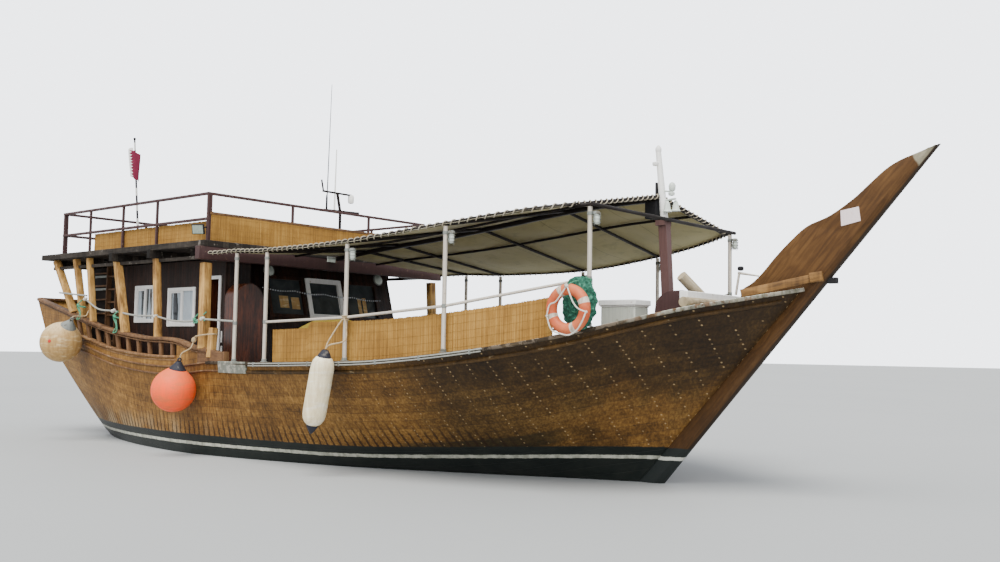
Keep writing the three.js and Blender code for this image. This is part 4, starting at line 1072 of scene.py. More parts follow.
POST_WOOD = timber("yellow post", (0.52, 0.31, 0.1), (0.29, 0.155, 0.045), (0.07, 0.031, 0.01), grain_axis=2,
                   patchy=0.8, streaks=0.7, worn=0.08, bare=(0.34, 0.25, 0.14))
CABIN_WOOD = timber("cabin boards", (0.065, 0.027, 0.017), (0.032, 0.013, 0.0085), (0.011, 0.005, 0.0035),
                    grain_axis=2, width=0.09, across=0, gap=0.008, rough=0.5)
FRONT_WOOD = timber("wheelhouse boards", (0.07, 0.029, 0.017), (0.03, 0.012, 0.007), (0.01, 0.0045, 0.003),
                    grain_axis=2, width=0.09, across=1, gap=0.008, rough=0.42, coat=0.1)
RED_WOOD = timber("red varnished panel", (0.3, 0.085, 0.03), (0.1, 0.027, 0.011), (0.03, 0.01, 0.005),
                  grain_axis=2, rough=0.3, coat=0.5)
ROOF_WOOD = timber("roof boards", (0.075, 0.062, 0.05), (0.036, 0.029, 0.023), (0.013, 0.01, 0.008),
                   width=0.16, across=1, gap=0.01, rough=0.8, worn=0.14, bare=(0.17, 0.15, 0.13))
BROWN_WOOD = timber("brown timber", (0.2, 0.11, 0.05), (0.1, 0.052, 0.024), (0.035, 0.018, 0.009), rough=0.65)
GREY_WOOD = timber("grey log", (0.46, 0.39, 0.27), (0.29, 0.235, 0.15), (0.1, 0.075, 0.045), fineness=3.5,
                   worn=0.3, bare=(0.5, 0.45, 0.36), rough=0.85, uv=True)
TAN_WOOD = timber("orange brown board", (0.3, 0.165, 0.055), (0.165, 0.083, 0.024), (0.05, 0.024, 0.008),
                  uv=True)
MAROON = painted("maroon paint", (0.055, 0.027, 0.026), chip=(0.14, 0.09, 0.06), amount=0.1, faded=0.08)
MAST_PAINT = painted("mast paint", (0.112, 0.059, 0.055), chip=(0.05, 0.025, 0.02), amount=0.1, faded=0.12)
DARK_PIPE = painted("dark pipe paint", (0.011, 0.007, 0.006), chip=(0.05, 0.03, 0.02), amount=0.1, faded=0.03)
WHITE = painted("white paint", (0.82, 0.82, 0.8), chip=(0.5, 0.46, 0.38), amount=0.05, faded=0.04,
                streaks=0.15)
PIPE = painted("pale pipe", (0.53, 0.48, 0.41), chip=(0.28, 0.22, 0.16), amount=0.06, rough=0.38, metal=0.25,
               faded=0.06, streaks=0.25)
GREY_METAL = painted("grey sheet", (0.2, 0.215, 0.2), chip=(0.09, 0.08, 0.06), amount=0.35, rough=0.5,
                     faded=0.2)
BLACK = painted("black rubber", (0.012, 0.012, 0.014), chip=(0.05, 0.045, 0.04), amount=0.16, rough=0.6,
                faded=0.04)
NAVY = painted("fender cone", (0.022, 0.023, 0.034), chip=(0.12, 0.11, 0.1), amount=0.25, rough=0.5,
               faded=0.08)
# Near-black paint for the board behind the stair, which stands for shade.
STAIR_SHADE = painted("dim lining", (0.012, 0.008, 0.006), chip=(0.03, 0.02, 0.014), amount=0.1, rough=0.8,
                 faded=0.02)
OLIVE = painted("olive cover", (0.3, 0.215, 0.03), chip=(0.2, 0.15, 0.04), amount=0.2, rough=0.75, faded=0.1)
LAMP_GLASS = painted("lamp glass", (0.62, 0.68, 0.62), chip=(0.35, 0.36, 0.3), amount=0.1, rough=0.2,
                     faded=0.1)
HOSE = painted("hose", (0.3, 0.3, 0.27), chip=(0.2, 0.2, 0.18), amount=0.15, rough=0.5, faded=0.1)
PATCH = painted("sheet over the gunwale", (0.16, 0.17, 0.14), chip=(0.32, 0.31, 0.26), amount=0.4,
                rough=0.6, scale=6.0)
CHEST = painted("chest", (0.48, 0.5, 0.44), chip=(0.3, 0.28, 0.22), amount=0.15, faded=0.1)
PLATE_PAINT = painted("plate", (0.8, 0.68, 0.68), chip=(0.6, 0.4, 0.38), amount=0.15, faded=0.05, streaks=0.1)
LIGHT_GREEN = painted("floodlight glass", (0.3, 0.36, 0.3), chip=(0.2, 0.22, 0.18), amount=0.1, rough=0.15)
BULB = painted("bulb glass", (0.75, 0.8, 0.86), chip=(0.5, 0.5, 0.5), amount=0.05, rough=0.15, faded=0.1)
RED_MARK = painted("red mark", (0.5, 0.03, 0.02), amount=0.2)
ORANGE = skin("orange vinyl", (0.99, 0.1, 0.02), (0.6, 0.16, 0.06), (0.62, 0.13, 0.05))
CREAM = skin("cream vinyl", (0.46, 0.29, 0.11), (0.82, 0.68, 0.42), (0.16, 0.075, 0.025))
IVORY = skin("ivory vinyl", (0.86, 0.76, 0.5), (0.95, 0.92, 0.78), (0.33, 0.2, 0.08))
ROPE = rope("hemp rope", (0.52, 0.4, 0.24), (0.28, 0.2, 0.11), girth=0.075)
THREAD = rope("mat thread", (0.34, 0.19, 0.048), (0.26, 0.135, 0.03), girth=0.014)
WHITE_ROPE = rope("white rope", (0.74, 0.72, 0.64), (0.48, 0.45, 0.37), girth=0.06)
LACING = rope("lacing", (0.5, 0.45, 0.35), (0.26, 0.22, 0.15), girth=0.055)
GREEN_ROPE = rope("green cord", (0.1, 0.36, 0.22), (0.035, 0.17, 0.1), girth=0.04, pitch=0.03)
FLOOR = finish("studio floor", build_floor)

# Hull form: the CAD's tables in metres, by station from 0 at the transom to 1 at the stem

SHEER = ([0, 0.13, 0.214, 0.292, 0.365, 0.43, 0.5, 0.616, 0.734, 0.864, 0.944, 0.977, 1],
         [2.33, 2.08, 1.82, 1.7, 1.68, 1.77, 1.775, 1.82, 1.905, 2.23, 2.76, 2.94, 3.07])
POOP_RAIL = ([0, 0.12, 0.21, 0.29, 0.36, 0.4, 0.43], [3.18, 2.74, 2.42, 2.25, 2.2, 2.06, 1.99])
BEAM_TOP = ([0, 0.13, 0.26, 0.45, 0.616, 0.734, 0.864, 0.938, 0.977, 1],
            [2.75, 3.08, 3.2, 3.25, 3.4, 3.35, 2.74, 1.47, 0.68, 0.16])
BEAM_WATER = ([0, 0.094, 0.239, 0.4, 0.638, 0.783, 0.949, 1], [1.77, 2.3, 2.8, 2.95, 2.25, 1.45, 0.42, 0.13])
BOTTOM = ([0, 0.045, 0.094, 0.145, 0.24, 0.4, 0.638, 0.85, 1],
          [-0.35, -0.48, -0.68, -0.95, -1.25, -1.45, -1.5, -1.42, -1.2])
FULLNESS = ([0, 0.2, 0.45, 0.75, 1], [1.1, 1.8, 2.4, 1.4, 1])
STEP = 1e-4
POOP_END, FORE_STEP, SILL = 0.43, 0.852, (0.115, 0.365)
KEEL_HALF, SKIN, PLANKS = 0.12, 0.09, 24


def sheer(t):
    return along(*SHEER, t)


def poop_rail(t):
    return along(*POOP_RAIL, t)


def breadth(t, z):
    """Half breadth of the planking: nearly straight above the water, a power curve below."""
    water = along(*BEAM_WATER, t)
    over = water + (along(*BEAM_TOP, t) - water) * np.clip(z / sheer(t), 0, 1) ** 0.85
    share = np.clip(z / along(*BOTTOM, t), 0, 1)
    under = KEEL_HALF + (water - KEEL_HALF) * (1 - share ** along(*FULLNESS, t))
    return np.where(np.asarray(z) >= 0, over, under)


def aft_end(z):
    return -8.3 - np.where(np.asarray(z) > 0, 0.6, 0.35) * z


def station_x(t, z):
    return aft_end(z) + t * (5.46 + 0.916 * z - aft_end(z))


def station_at(x, z):
    return (x - aft_end(z)) / (5.46 + 0.916 * z - aft_end(z))


def sheer_at(x):
    """Station of the sheer line at a given X."""
    t = np.full(np.shape(x), 0.5)
    for _ in range(20):
        t = station_at(x, sheer(t))
    return t


def on_side(t, z, side, out=0.0):
    return np.stack(np.broadcast_arrays(station_x(t, z), side * (breadth(t, z) + out), z), -1)


def side_top(t):
    """Top of the side planking: the sheer forward, the sill or the cap of the poop's side aft."""
    low = (t > SILL[0] + STEP / 2) & (t < SILL[1] + STEP / 2)
    return np.where(t > POOP_END + STEP / 2, sheer(t), np.where(low, sheer(t) + 0.21, poop_rail(t)))


def solid_top(t):
    """Top of the solid hull under the decks."""
    fore = sheer(t) - np.where(t > FORE_STEP + STEP / 2, 0.27, 0.85)
    return np.where(t > POOP_END + STEP / 2, fore, 1.57)


def smooth(x, low, high):
    s = np.clip((x - low) / (high - low), 0, 1)
    return s * s * (3 - 2 * s)


def hull_shell():
    """Both sides in one closed surface. A ring at each station runs up the outside from the keel to
    the top, down the inside to the deck, across, and back the same way on the other side. Each end
    is a ladder of faces between the two sides. UV is X and a count of planks, and the tone is the
    height above the white stripe."""
    steps = np.array([SILL[0], SILL[1], POOP_END, FORE_STEP])
    t = np.sort(np.concatenate([np.linspace(0, 1, 181), steps, steps + STEP]))[:, None]
    head, foot, low = side_top(t), along(*BOTTOM, t), solid_top(t)
    z = np.concatenate([foot * (1 - np.arange(14) / 14), head * np.arange(31) / 30], 1)
    outer = on_side(t, z, STARBOARD)
    inner_z = head + (low - head) * np.arange(5) / 4
    inner = on_side(t, inner_z, STARBOARD)
    inner[..., 1] = np.minimum(inner[..., 1] + SKIN, -KEEL_HALF - 0.002)
    inner[0, :, 0] += 0.07
    half = np.concatenate([outer, inner], 1)
    ring = np.concatenate([half, (half * (1, -1, 1))[:, ::-1]], 1)
    board = PLANKS * (ring[..., 2] - foot) / (sheer(t) - foot)
    uv = np.stack([ring[..., 0], board], -1)
    uv = np.concatenate([uv, uv[:, :1]], 1)
    above = ring[..., 2] - STRIPE_AFT - STRIPE_RISE * smooth(ring[..., 0], 0.0, 6.0)
    body = grid(ring, around=True, uv=uv, tone=above)
    rows, cols = ring.shape[:2]
    i = np.arange(cols // 2 - 1)
    ladders, places = [], []
    for row in (0, rows - 1):
        ids = np.stack([i, i + 1, cols - 2 - i, cols - 1 - i], 1)
        ladders.append(ids + row * cols)
        spread = ring[row, ids, 1] + 40.0 * row
        places.append(np.stack([spread, board[row, ids]], -1))
    return body._replace(faces=np.concatenate([body.faces] + ladders), uv=np.concatenate([body.uv] + places))


piece("hull_shell", [hull_shell()], HULL, "timber", crease=50,
      stands_for=("hull", "bulwark_starboard", "bulwark_port", "poop_side_starboard", "poop_side_port",
                  "stern_bulwark"))


def half_round(width, out, steps=6):
    """Half ellipse that stands out from a face, its flat side just inside it."""
    turn = np.linspace(-math.pi / 2, math.pi / 2, steps + 1)
    return np.column_stack([out * np.cos(turn), width / 2 * np.sin(turn)]) - (0.01, 0)


def moulding(side, start, stop, base, rise, profile, out=0.0):
    """A profile carried along one side of the hull, at a rise above a line given by station."""
    t = np.linspace(start, stop, 120)
    return carried(on_side(t, base(t) + rise, side, out), np.asarray(profile) * (-side, 1))


def poop_end(side):
    """Board that carries the poop's side a little forward on the gunwale: its top falls in a curve
    from the rail to a level end."""
    x = np.linspace(-2.62, -1.72, 24)
    top = along([-2.62, -2.36, -2.08, -1.95, -1.72], [2.17, 2.08, 2.04, 2.02, 2.02], x)
    t = sheer_at(x)
    rows = []
    for out, z in ((0.012, sheer(t) + 0.02), (0.012, top), (-0.11, top), (-0.11, sheer(t) + 0.02)):
        rows.append(np.column_stack([x, side * (breadth(t, z) + out), z]))
    return grid(np.stack(rows, 1), around=True, capped=True)


for name, side in SIDES.items():
    strake = moulding(side, POOP_END + 0.035, 0.995, sheer, -0.12, half_round(0.075, 0.05))
    piece(f"strake_{name}", [strake], HULL_TRIM, "timber")
    piece(f"poop_strake_{name}", [
        moulding(side, 0.004, POOP_END + 0.012, sheer, 0.03, half_round(0.045, 0.045)),
        moulding(side, 0.004, POOP_END + 0.03, sheer, -0.12, half_round(0.045, 0.05)),
        poop_end(side),
    ], RAIL_WOOD, "timber", bevel=0.006)
    piece(f"sill_moulding_{name}", [
        moulding(side, SILL[0] + 0.001, SILL[1] - 0.001, sheer, 0.225, rounded(0.14, 0.05, 0.015), -0.03),
        moulding(side, SILL[0] + 0.001, SILL[1] - 0.001, sheer, 0.16, half_round(0.045, 0.022)),
    ], SIDE_WOOD, "timber")
    cap = [moulding(side, 0.004, POOP_END - STEP, poop_rail, 0.036, rounded(0.17, 0.07, 0.02), -0.04),
           moulding(side, 0.004, POOP_END - STEP, poop_rail, -0.03, half_round(0.04, 0.03))]
    for i in range(10):
        t = SILL[0] + 0.012 + i * (SILL[1] - SILL[0] - 0.024) / 9
        cap.append(stick(on_side(t, sheer(t) + 0.234, side, -0.045),
                         on_side(t, poop_rail(t) + 0.02, side, -0.045), 0.08, 0.08, 0.014))
    piece(f"poop_rail_cap_{name}", cap, RAIL_WOOD, "grey", stands_for=(f"poop_rail_{name}",))
    gunwale = moulding(side, POOP_END + STEP, 1, sheer, 0.031, rounded(0.2, 0.06, 0.018), -0.05)
    piece(f"gunwale_cap_{name}", [gunwale], CAP_WOOD, "timber", stands_for=(f"gunwale_{name}",))
stern_cap = np.array([on_side(0.004, poop_rail(0.0) + 0.03, side, -0.02) for side in (STARBOARD, PORT)])
piece("stern_cap", [carried(line(stern_cap[0], stern_cap[1], 12), rounded(0.17, 0.07, 0.02))], RAIL_WOOD,
      "grey")

# Stem, keel, rudder and propeller


def blade_between(back, lead, half):
    """Closed board between a back edge and a leading edge, given as rows of X and Z, with a half
    thickness at each row. The corners are cut, and the leading edge is narrower than the back."""
    gap = lead - back
    way = gap / np.maximum(np.linalg.norm(gap, axis=1), 1e-6)[:, None]
    r = 0.028
    nose = half * 0.36
    rows = [(back, half - r), (back + 0.3 * r * way, half - 0.3 * r), (back + r * way, half),
            (lead - 4.0 * r * way, half), (lead - 0.6 * r * way, nose + 0.4 * r), (lead, nose - 0.5 * r)]
    left = [np.column_stack([p[:, 0], y, p[:, 1]]) for p, y in rows]
    right = [np.column_stack([p[:, 0], -y, p[:, 1]]) for p, y in rows[::-1]]
    return grid(np.stack(left + right, 1), around=True, capped=True)


def lead_edge(z):
    """Leading edge of the stem at heights: a straight rake."""
    return np.column_stack([STEM_FOOT + STEM_SLOPE * z, z])


def stem_board():
    """A lower board along the end of the planking, and an upper one, from the knee on the foredeck to
    the tip, whose back edge is a smooth curve."""
    low = np.concatenate([[-1.47], np.linspace(-1.2, 3.0, 30)])
    back = np.column_stack([5.46 + 0.916 * low - 0.03, low])
    lead = lead_edge(low)
    lead[0] = (4.55, -1.49)
    knee = np.array([[7.3, 2.6], [7.3, 2.85], [7.3, 3.11], [7.48, 3.23], [7.65, 3.38], [7.86, 3.61],
                     [8.12, 3.86], [8.38, 4.06], [8.72, 4.19], [9.07, 4.41], [9.32, 4.62], [9.55, 4.81],
                     [9.75, 4.92], [9.96, 4.99], [10.22, 5.07]])
    at = np.linspace(0, 1, 60)
    run = np.linspace(0, 1, len(knee))
    upper = np.column_stack([along(run, knee[:, k], at) for k in (0, 1)])
    upper_lead = lead_edge(2.62 + (5.1 - 2.62) * at ** 0.95)
    thin = KEEL_HALF * (1 - 0.3 * smooth(at, 0.5, 1.0))
    return joined(blade_between(back, lead, np.full(len(low), KEEL_HALF)),
                  blade_between(upper, upper_lead, thin - 0.001))


piece("stem_board", [stem_board()], STEM, "timber", stands_for=("stem",), crease=32)
eased("keel", FOULED, "timber", 0.02)
eased("rudder", FOULED, "bronze", 0.01, body="rudder_body")
eased("stern_tube", BRONZE, "bronze", 0.006)


SHAFT_Z = -1.25


def blade(turn):
    """Propeller blade: sections of a thin ellipse, widest two thirds out, whose pitch falls towards
    the tip, turned about the shaft."""
    s = np.linspace(0, 1, 14)[:, None]
    radius = 0.06 + 0.36 * s
    chord = 0.02 + 0.2 * np.sin(math.pi * (0.12 + 0.83 * s)) ** 0.8
    angle = np.linspace(0, TURN, 16, endpoint=False)[None]
    pitch = 1.05 - 0.55 * s
    flat = chord / 2 * np.cos(angle)
    thick = (0.014 - 0.009 * s) * np.sin(angle)
    fore = flat * np.cos(pitch) + thick * np.sin(pitch)
    across = flat * np.sin(pitch) - thick * np.cos(pitch)
    rise = np.sqrt(np.maximum(radius ** 2 - across ** 2, 0.0009))
    y, z = across, rise
    points = np.stack([-7.0 + fore, y * math.cos(turn) - z * math.sin(turn),
                       SHAFT_Z + y * math.sin(turn) + z * math.cos(turn)], -1)
    return grid(points, around=True, capped=True)


hub = [(0.088, 0.0), (0.088, 0.1), (0.082, 0.16), (0.07, 0.2), (0.06, 0.23), (0.05, 0.255)]
piece("propeller_bronze", [turned(hub, (-6.8705, 0, SHAFT_Z), (-1, 0, 0), 28)]
      + [blade(k * math.pi / 2) for k in range(4)], BRONZE, "bronze", body="propeller_body",
      stands_for=("propeller",))

# Decks, cabin and upper deck


for node in ("main_deck", "foredeck", "poop_deck"):
    eased(node, DECK, "grey", 0.0)
for node in ("cabin_wall_starboard", "cabin_wall_port"):
    eased(node, CABIN_WOOD, "dark", 0.004)
eased("cabin_wall_aft", FRONT_WOOD, "dark", 0.004)
eased("cabin_front", FRONT_WOOD, "dark", 0.004)
eased("cabin_door", RED_WOOD, "dark", 0.003, body="door_body")
eased("locker", RED_WOOD, "dark", 0.012)
eased("helm_console", BROWN_WOOD, "dark", 0.01)
eased("upper_deck", ROOF_WOOD, "grey", 0.008)
eased("front_beam", MAROON, "paint", 0.012)
eased("ladder", RAIL_WOOD, "timber", 0.006)
eased("bow_box", MAROON, "paint", 0.01)


def frame_of(y, z, inside, thick, lip):
    """Four bars round an opening from y0 to y1 and z0 to z1. They stand in the opening by a thickness
    and beyond it by a lip, and run from x0 to x1."""
    (y0, y1), (z0, z1), (x0, x1) = y, z, inside
    return [crate((x0, y0 - lip, z0 - lip), (x1, y0 + thick, z1 + lip)),
            crate((x0, y1 - thick, z0 - lip), (x1, y1 + lip, z1 + lip)),
            crate((x0, y0 + thick, z0 - lip), (x1, y1 - thick, z0 + thick)),
            crate((x0, y0 + thick, z1 - thick), (x1, y1 - thick, z1 + lip))]


def turned_about(s, order):
    """The shape with its axes in another order."""
    return s._replace(points=s.points[:, list(order)])


WINDOWS = [((-6.25, -5.52), (2.65, 3.4)), ((-4.94, -3.98), (2.56, 3.32))]
for name, side in SIDES.items():
    frames, glass = [], []
    for (x0, x1), (z0, z1) in WINDOWS:
        low, high = sorted((side * 2.395, side * 2.475))
        bars = frame_of((x0, x1), (z0, z1), (low, high), 0.045, 0.03)
        middle = (x0 + x1) / 2
        rail_low, rail_high = sorted((side * 2.41, side * 2.462))
        foot, head = z0 + 0.045, z1 - 0.045
        bars += [crate((rail_low, middle - 0.03, foot), (rail_high, middle + 0.03, head)),
                 crate((rail_low, x0 + 0.045, foot), (rail_high, x0 + 0.08, head)),
                 crate((rail_low, x0 + 0.08, head - 0.035), (rail_high, middle - 0.03, head)),
                 crate((rail_low, x0 + 0.08, foot), (rail_high, middle - 0.03, foot + 0.035))]
        frames += [turned_about(s, (1, 0, 2)) for s in bars]
        for a, b, y in ((x0 + 0.03, middle, 2.432), (middle, x1 - 0.03, 2.418)):
            low, high = sorted((side * y, side * (y + 0.005)))
            glass.append(crate((a, low, z0 + 0.03), (b, high, z1 - 0.03)))
    piece(f"window_frames_{name}", frames, WHITE, "white", bevel=0.004)
    piece(f"window_glass_{name}", glass, CURTAIN, "dark")


FRONT_FOOT, FRONT_RAKE, DECK_TOP = -2.75, 0.28, 1.62


def front_x(z):
    """Face of the cabin's raked front at a height."""
    return FRONT_FOOT - FRONT_RAKE * (z - DECK_TOP)


def on_front(y0, y1, z0, z1, out0, out1):
    """Box on the raked front, from out0 to out1 ahead of its face."""
    low = crate((0, y0, z0), (1, y1, z1))
    x = front_x(low.points[:, 2]) + out0 + low.points[:, 0] * (out1 - out0)
    return low._replace(points=np.column_stack([x, low.points[:, 1:]]))


panes, front_frames = [], []
for i, y in enumerate((-1.17, -0.08, 1.01)):
    panes.append(on_front(y - 0.01, y + 0.98, 2.79, 3.65, -0.04, -0.034))
    t = 0.075 if i == 1 else 0.045
    front_frames += [on_front(y - 0.03, y + t, 2.77, 3.67, -0.03, 0.03),
                     on_front(y + 0.97 - t, y + 1.0, 2.77, 3.67, -0.03, 0.03),
                     on_front(y + t, y + 0.97 - t, 2.77, 2.8 + t, -0.03, 0.03),
                     on_front(y + t, y + 0.97 - t, 3.64 - t, 3.67, -0.03, 0.03)]
piece("wheelhouse_panes", panes, PANE, "dark")
piece("wheelhouse_frame_middle", front_frames[4:8], WHITE, "white", bevel=0.006)
piece("wheelhouse_frames_outer", front_frames[:4] + front_frames[8:], FRONT_WOOD, "dark", bevel=0.006)
piece("doorway_trim", [crate((-3.73, -2.475, 1.68), (-3.66, -2.44, 3.56)),
                       crate((-3.12, -2.475, 1.68), (-3.05, -2.44, 3.56)),
                       crate((-3.66, -2.475, 3.49), (-3.12, -2.44, 3.56))], WHITE, "white", bevel=0.005)


def helm_parts():
    """Wheel: a turned rim, a hub and six spokes with shaped handles, about a level axis."""
    x, z, radius = -3.56, 2.45, 0.33
    handle = [(0.013, -0.05), (0.02, 0.0), (0.014, 0.1), (0.012, 0.22), (0.011, 0.32), (0.012, 0.36),
              (0.018, 0.41), (0.016, 0.46), (0.008, 0.475)]
    parts = [ring_of(radius, 0.02, (x, 0, z), (1, 0, 0), 64, 12),
             turned([(0.05, 0.0), (0.055, 0.03), (0.075, 0.05), (0.075, 0.1), (0.05, 0.13), (0.035, 0.155)],
                    (x + 0.1, 0, z), (-1, 0, 0), 32)]
    for k in range(6):
        turn = k * math.pi / 3
        out = np.array([0.0, math.sin(turn), math.cos(turn)])
        parts.append(turned(handle, np.array([x, 0, z]) - 0.07 * out, out, 12))
    return parts


piece("helm_wheel_turned", helm_parts(), BROWN_WOOD, "bronze", body="helm_body", stands_for=("helm_wheel",))

POSTS = [(-8.55, -7.97, 0.12), (-7.63, -7.43, 0.11), (-7.05, -6.89, 0.1), (-5.89, -5.42, 0.13),
         (-4.34, -4.13, 0.11), (-2.575, -2.5, 0.16)]
for name, side in SIDES.items():
    low, high = sorted((side * 3.15, side * 3.09))
    # The carlins take the dark roof boards finish as painted shade under the roof's edge.
    piece(f"carlin_{name}", [crate((-8.7, low, 3.83), (-2.601, high, 3.8995))], ROOF_WOOD, "grey",
          bevel=0.006)
    parts = []
    for head, foot, thick in POSTS:
        t = station_at(foot, 2.5)
        rest = poop_rail(t) + 0.05
        top = 3.74 if head > -3 else 4.04
        wide = thick + (0.02 if head > -3 else 0.03)
        parts.append(stick((head, side * 3.155, top), (foot, side * (breadth(t, rest) - 0.04), rest), wide,
                           thick, 0.012, points=6))
    parts.append(stick((-2.24, side * 3.16, 2.47), (-2.24, side * 3.2, 1.9), 0.15, 0.13, 0.02, points=4))
    piece(f"posts_{name}", parts, POST_WOOD, "timber", bevel=0.006, stands_for=(f"roof_posts_{name}",))

ROOF_TOP = 4.181
RAIL_HALF, RAIL_TOP, RAIL_MIDDLE, RAIL_AFT, RAIL_FORE, TUBE = 3.03, 5.17, 4.64, -8.52, -2.72, 0.055


def railing(start, stop, place, inner):
    """Square tube rails between square posts, with a foot plate under each post."""
    half = TUBE / 2
    rows = [stick(place(start, z), place(stop, z), TUBE, TUBE, 0.008) for z in (RAIL_TOP - half, RAIL_MIDDLE)]
    for x in (start + half, *inner, stop - half):
        rows.append(stick(place(x, ROOF_TOP), place(x, RAIL_TOP - 0.01), 0.05, 0.05, 0.008))
        rows.append(moved(crate((-0.05, -0.05, 0), (0.05, 0.05, 0.01)), place(x, ROOF_TOP)))
    return rows


for name, side in SIDES.items():
    rails = railing(RAIL_AFT, RAIL_FORE, lambda x, z: (x, side * RAIL_HALF, z), (-7.307, -5.916, -4.579))
    piece(f"rail_{name}", rails, MAROON, "paint", stands_for=(f"upper_rail_{name}",))
across_half = RAIL_HALF - TUBE / 2 - 0.001
for name, x in (("forward", RAIL_FORE - TUBE / 2), ("aft", RAIL_AFT + TUBE / 2)):
    rails = railing(-across_half, across_half, lambda y, z: (x, y, z), (-0.939, 1.243))
    piece(f"rail_{name}", rails, MAROON, "paint", stands_for=(f"upper_rail_{name}",))

piece("coaming_forward", [stick((-2.704, -3.0, 4.752), (-2.704, 2.13, 4.752), 0.035, 0.05, 0.006, points=4)],
      RAIL_WOOD, "timber")
# Near-black board behind the stair: painted shade for the shaded space under the upper deck.
piece("stair_back", [crate((-8.2, -2.42, 1.625), (-7.14, -2.4, 3.89))], STAIR_SHADE, "dark")
piece("stair_treads", [crate((-7.98, -2.5, z), (-7.4, -2.421, z + 0.035))
                       for z in (2.5, 2.82, 3.14, 3.46, 3.75)], BROWN_WOOD, "timber", bevel=0.004)
piece("stair_edges", [crate((-7.96, -2.512, z), (-7.46, -2.501, z + 0.05)) for z in (3.37, 3.66)],
      GREY_METAL, "grey")
BAR_SPANS = [(-2.92, 2.2, 2.43), (-2.91, 2.02, 2.13), (-2.6, 2.16, 2.42), (-2.58, 1.94, 2.08)]
piece("door_bars", [rod((x, -2.5, low), (x, -2.5, high), 0.017, sides=8) for x, low, high in BAR_SPANS],
      WHITE, "white")

# Reed mats


REED_WIDTH, REED_BULGE, RAGGED = 0.0125, 0.28, 0.014


def mat(name, base, height, node, seed):
    """Mat of upright reeds on a line of base points: across each reed the surface bulges on both
    faces, its foot and head follow the base, and each reed has its own height and tone."""
    rng = np.random.default_rng(seed)
    base, height = np.asarray(base, float), np.asarray(height, float)
    run = np.concatenate([[0], np.cumsum(np.linalg.norm(np.diff(base, axis=0), axis=1))])
    count = int(run[-1] / REED_WIDTH)
    edges = (np.arange(count)[:, None] + np.array([0.04, 0.3, 0.7, 0.96])).ravel() * run[-1] / count
    bulge = (np.tile([0.0, 1.0, 1.0, 0.0], count) * REED_WIDTH * REED_BULGE
             * np.repeat(rng.uniform(0.7, 1.1, count), 4) + 0.003)
    place = np.column_stack([np.interp(edges, run, base[:, k]) for k in range(3)])
    ahead = unit(np.gradient(place, axis=0) * (1, 1, 0))
    out = np.column_stack([ahead[:, 1], -ahead[:, 0], np.zeros(len(ahead))])
    tall = np.interp(edges, run, height) - np.repeat(RAGGED * rng.random(count), 4)
    lean = np.repeat(rng.normal(0, 0.002, count), 4)
    levels = np.linspace(0, 1, 7)
    wave = 0.006 * np.sin(edges[:, None] * 1.7 + levels * 2.0 + seed)
    rows = []
    for sign in (1, -1):
        body = (place[:, None] + out[:, None] * (sign * bulge[:, None, None] + wave[..., None])
                + levels[None, :, None] * (tall[:, None] * np.array([0, 0, 1.0]))[:, None]
                + ahead[:, None] * (levels[None] * lean[:, None])[..., None])
        rows.append(body if sign > 0 else body[:, ::-1])
    ring = np.concatenate(rows, 1)
    tone = np.repeat(np.repeat(rng.beta(2.2, 2.0, count), 4)[:, None], ring.shape[1], 1)
    piece(name, [grid(ring, around=True, capped=True, tone=tone)], REED, "mat", stands_for=(node,), crease=75)
    threads = []
    for share in (0.1, 0.3, 0.5, 0.7, 0.9):
        wave = 0.006 * np.sin(edges * 1.7 + share * 2.0 + seed)
        off = (REED_WIDTH * REED_BULGE + 0.004 + wave)[:, None]
        path = place + out * off + np.outer(tall * share, (0, 0, 1))
        threads.append(carried(path[::6], circle(0.0013, 5)))
    piece(name + "_threads", threads, THREAD, "mat")


mat("reeds_upper_starboard", [(-7.19, -2.985, 4.185), (-2.79, -2.985, 4.185)], (0.425, 0.425),
    "mat_upper_starboard", 3)
mat("reeds_upper_forward", [(-2.704, -2.985, 4.185), (-2.704, 2.125, 4.185)], (0.56, 0.56),
    "mat_upper_forward", 4)
t = np.linspace(0.5475, 0.8755, 80)
foot = np.stack([station_x(t, sheer(t)), -(breadth(t, sheer(t) + 0.061) - 0.15), sheer(t) + 0.063], -1)
high = np.where(foot[:, 0] < 0.7, 0.585, 0.685 - 0.017 * (foot[:, 0] - 0.7))
mat("reeds_lower_starboard", foot, high, "mat_lower_starboard", 5)

# Canopy: poles, handrails, rafters, canvas and its lacing

POLES = [(-1.48, 3.87), (-0.48, 3.83), (1.78, 3.855), (3.795, 4.045), (5.89, 4.3)]
EAVE = [3.87, 3.83, 3.855, 4.045, 4.315]
HANDRAIL = 0.72
CANOPY_AFT, CANOPY_FORE = -2.35, 5.75
RAFTERS = [-1.48, -0.48, 1.78, 3.795]
RIDGE = ([CANOPY_AFT, -1.02, 0.89, 2.55, 4.24, 5.7], [4.06, 4.19, 4.33, 4.49, 4.65, 4.7])


def pole_side(x):
    z = sheer(sheer_at(np.asarray(x + 0.038))) + 0.0615
    return breadth(sheer_at(np.asarray(x)), z) - 0.055, z


def edge_y(x):
    return np.array([pole_side(v)[0] for v in np.ravel(np.maximum(x, POLES[0][0]))]).reshape(np.shape(x))


def edge_z(x):
    return along([p[0] for p in POLES], EAVE, x)


def canopy_z(x, y):
    """Height of the canopy's frame line: straight from the ridge to the eave."""
    return along(*RIDGE, x) + (edge_z(x) - along(*RIDGE, x)) * np.minimum(np.abs(y) / edge_y(x), 1.1)


def rafter_z(x, y):
    return canopy_z(np.asarray(x, float), y) + 0.0305


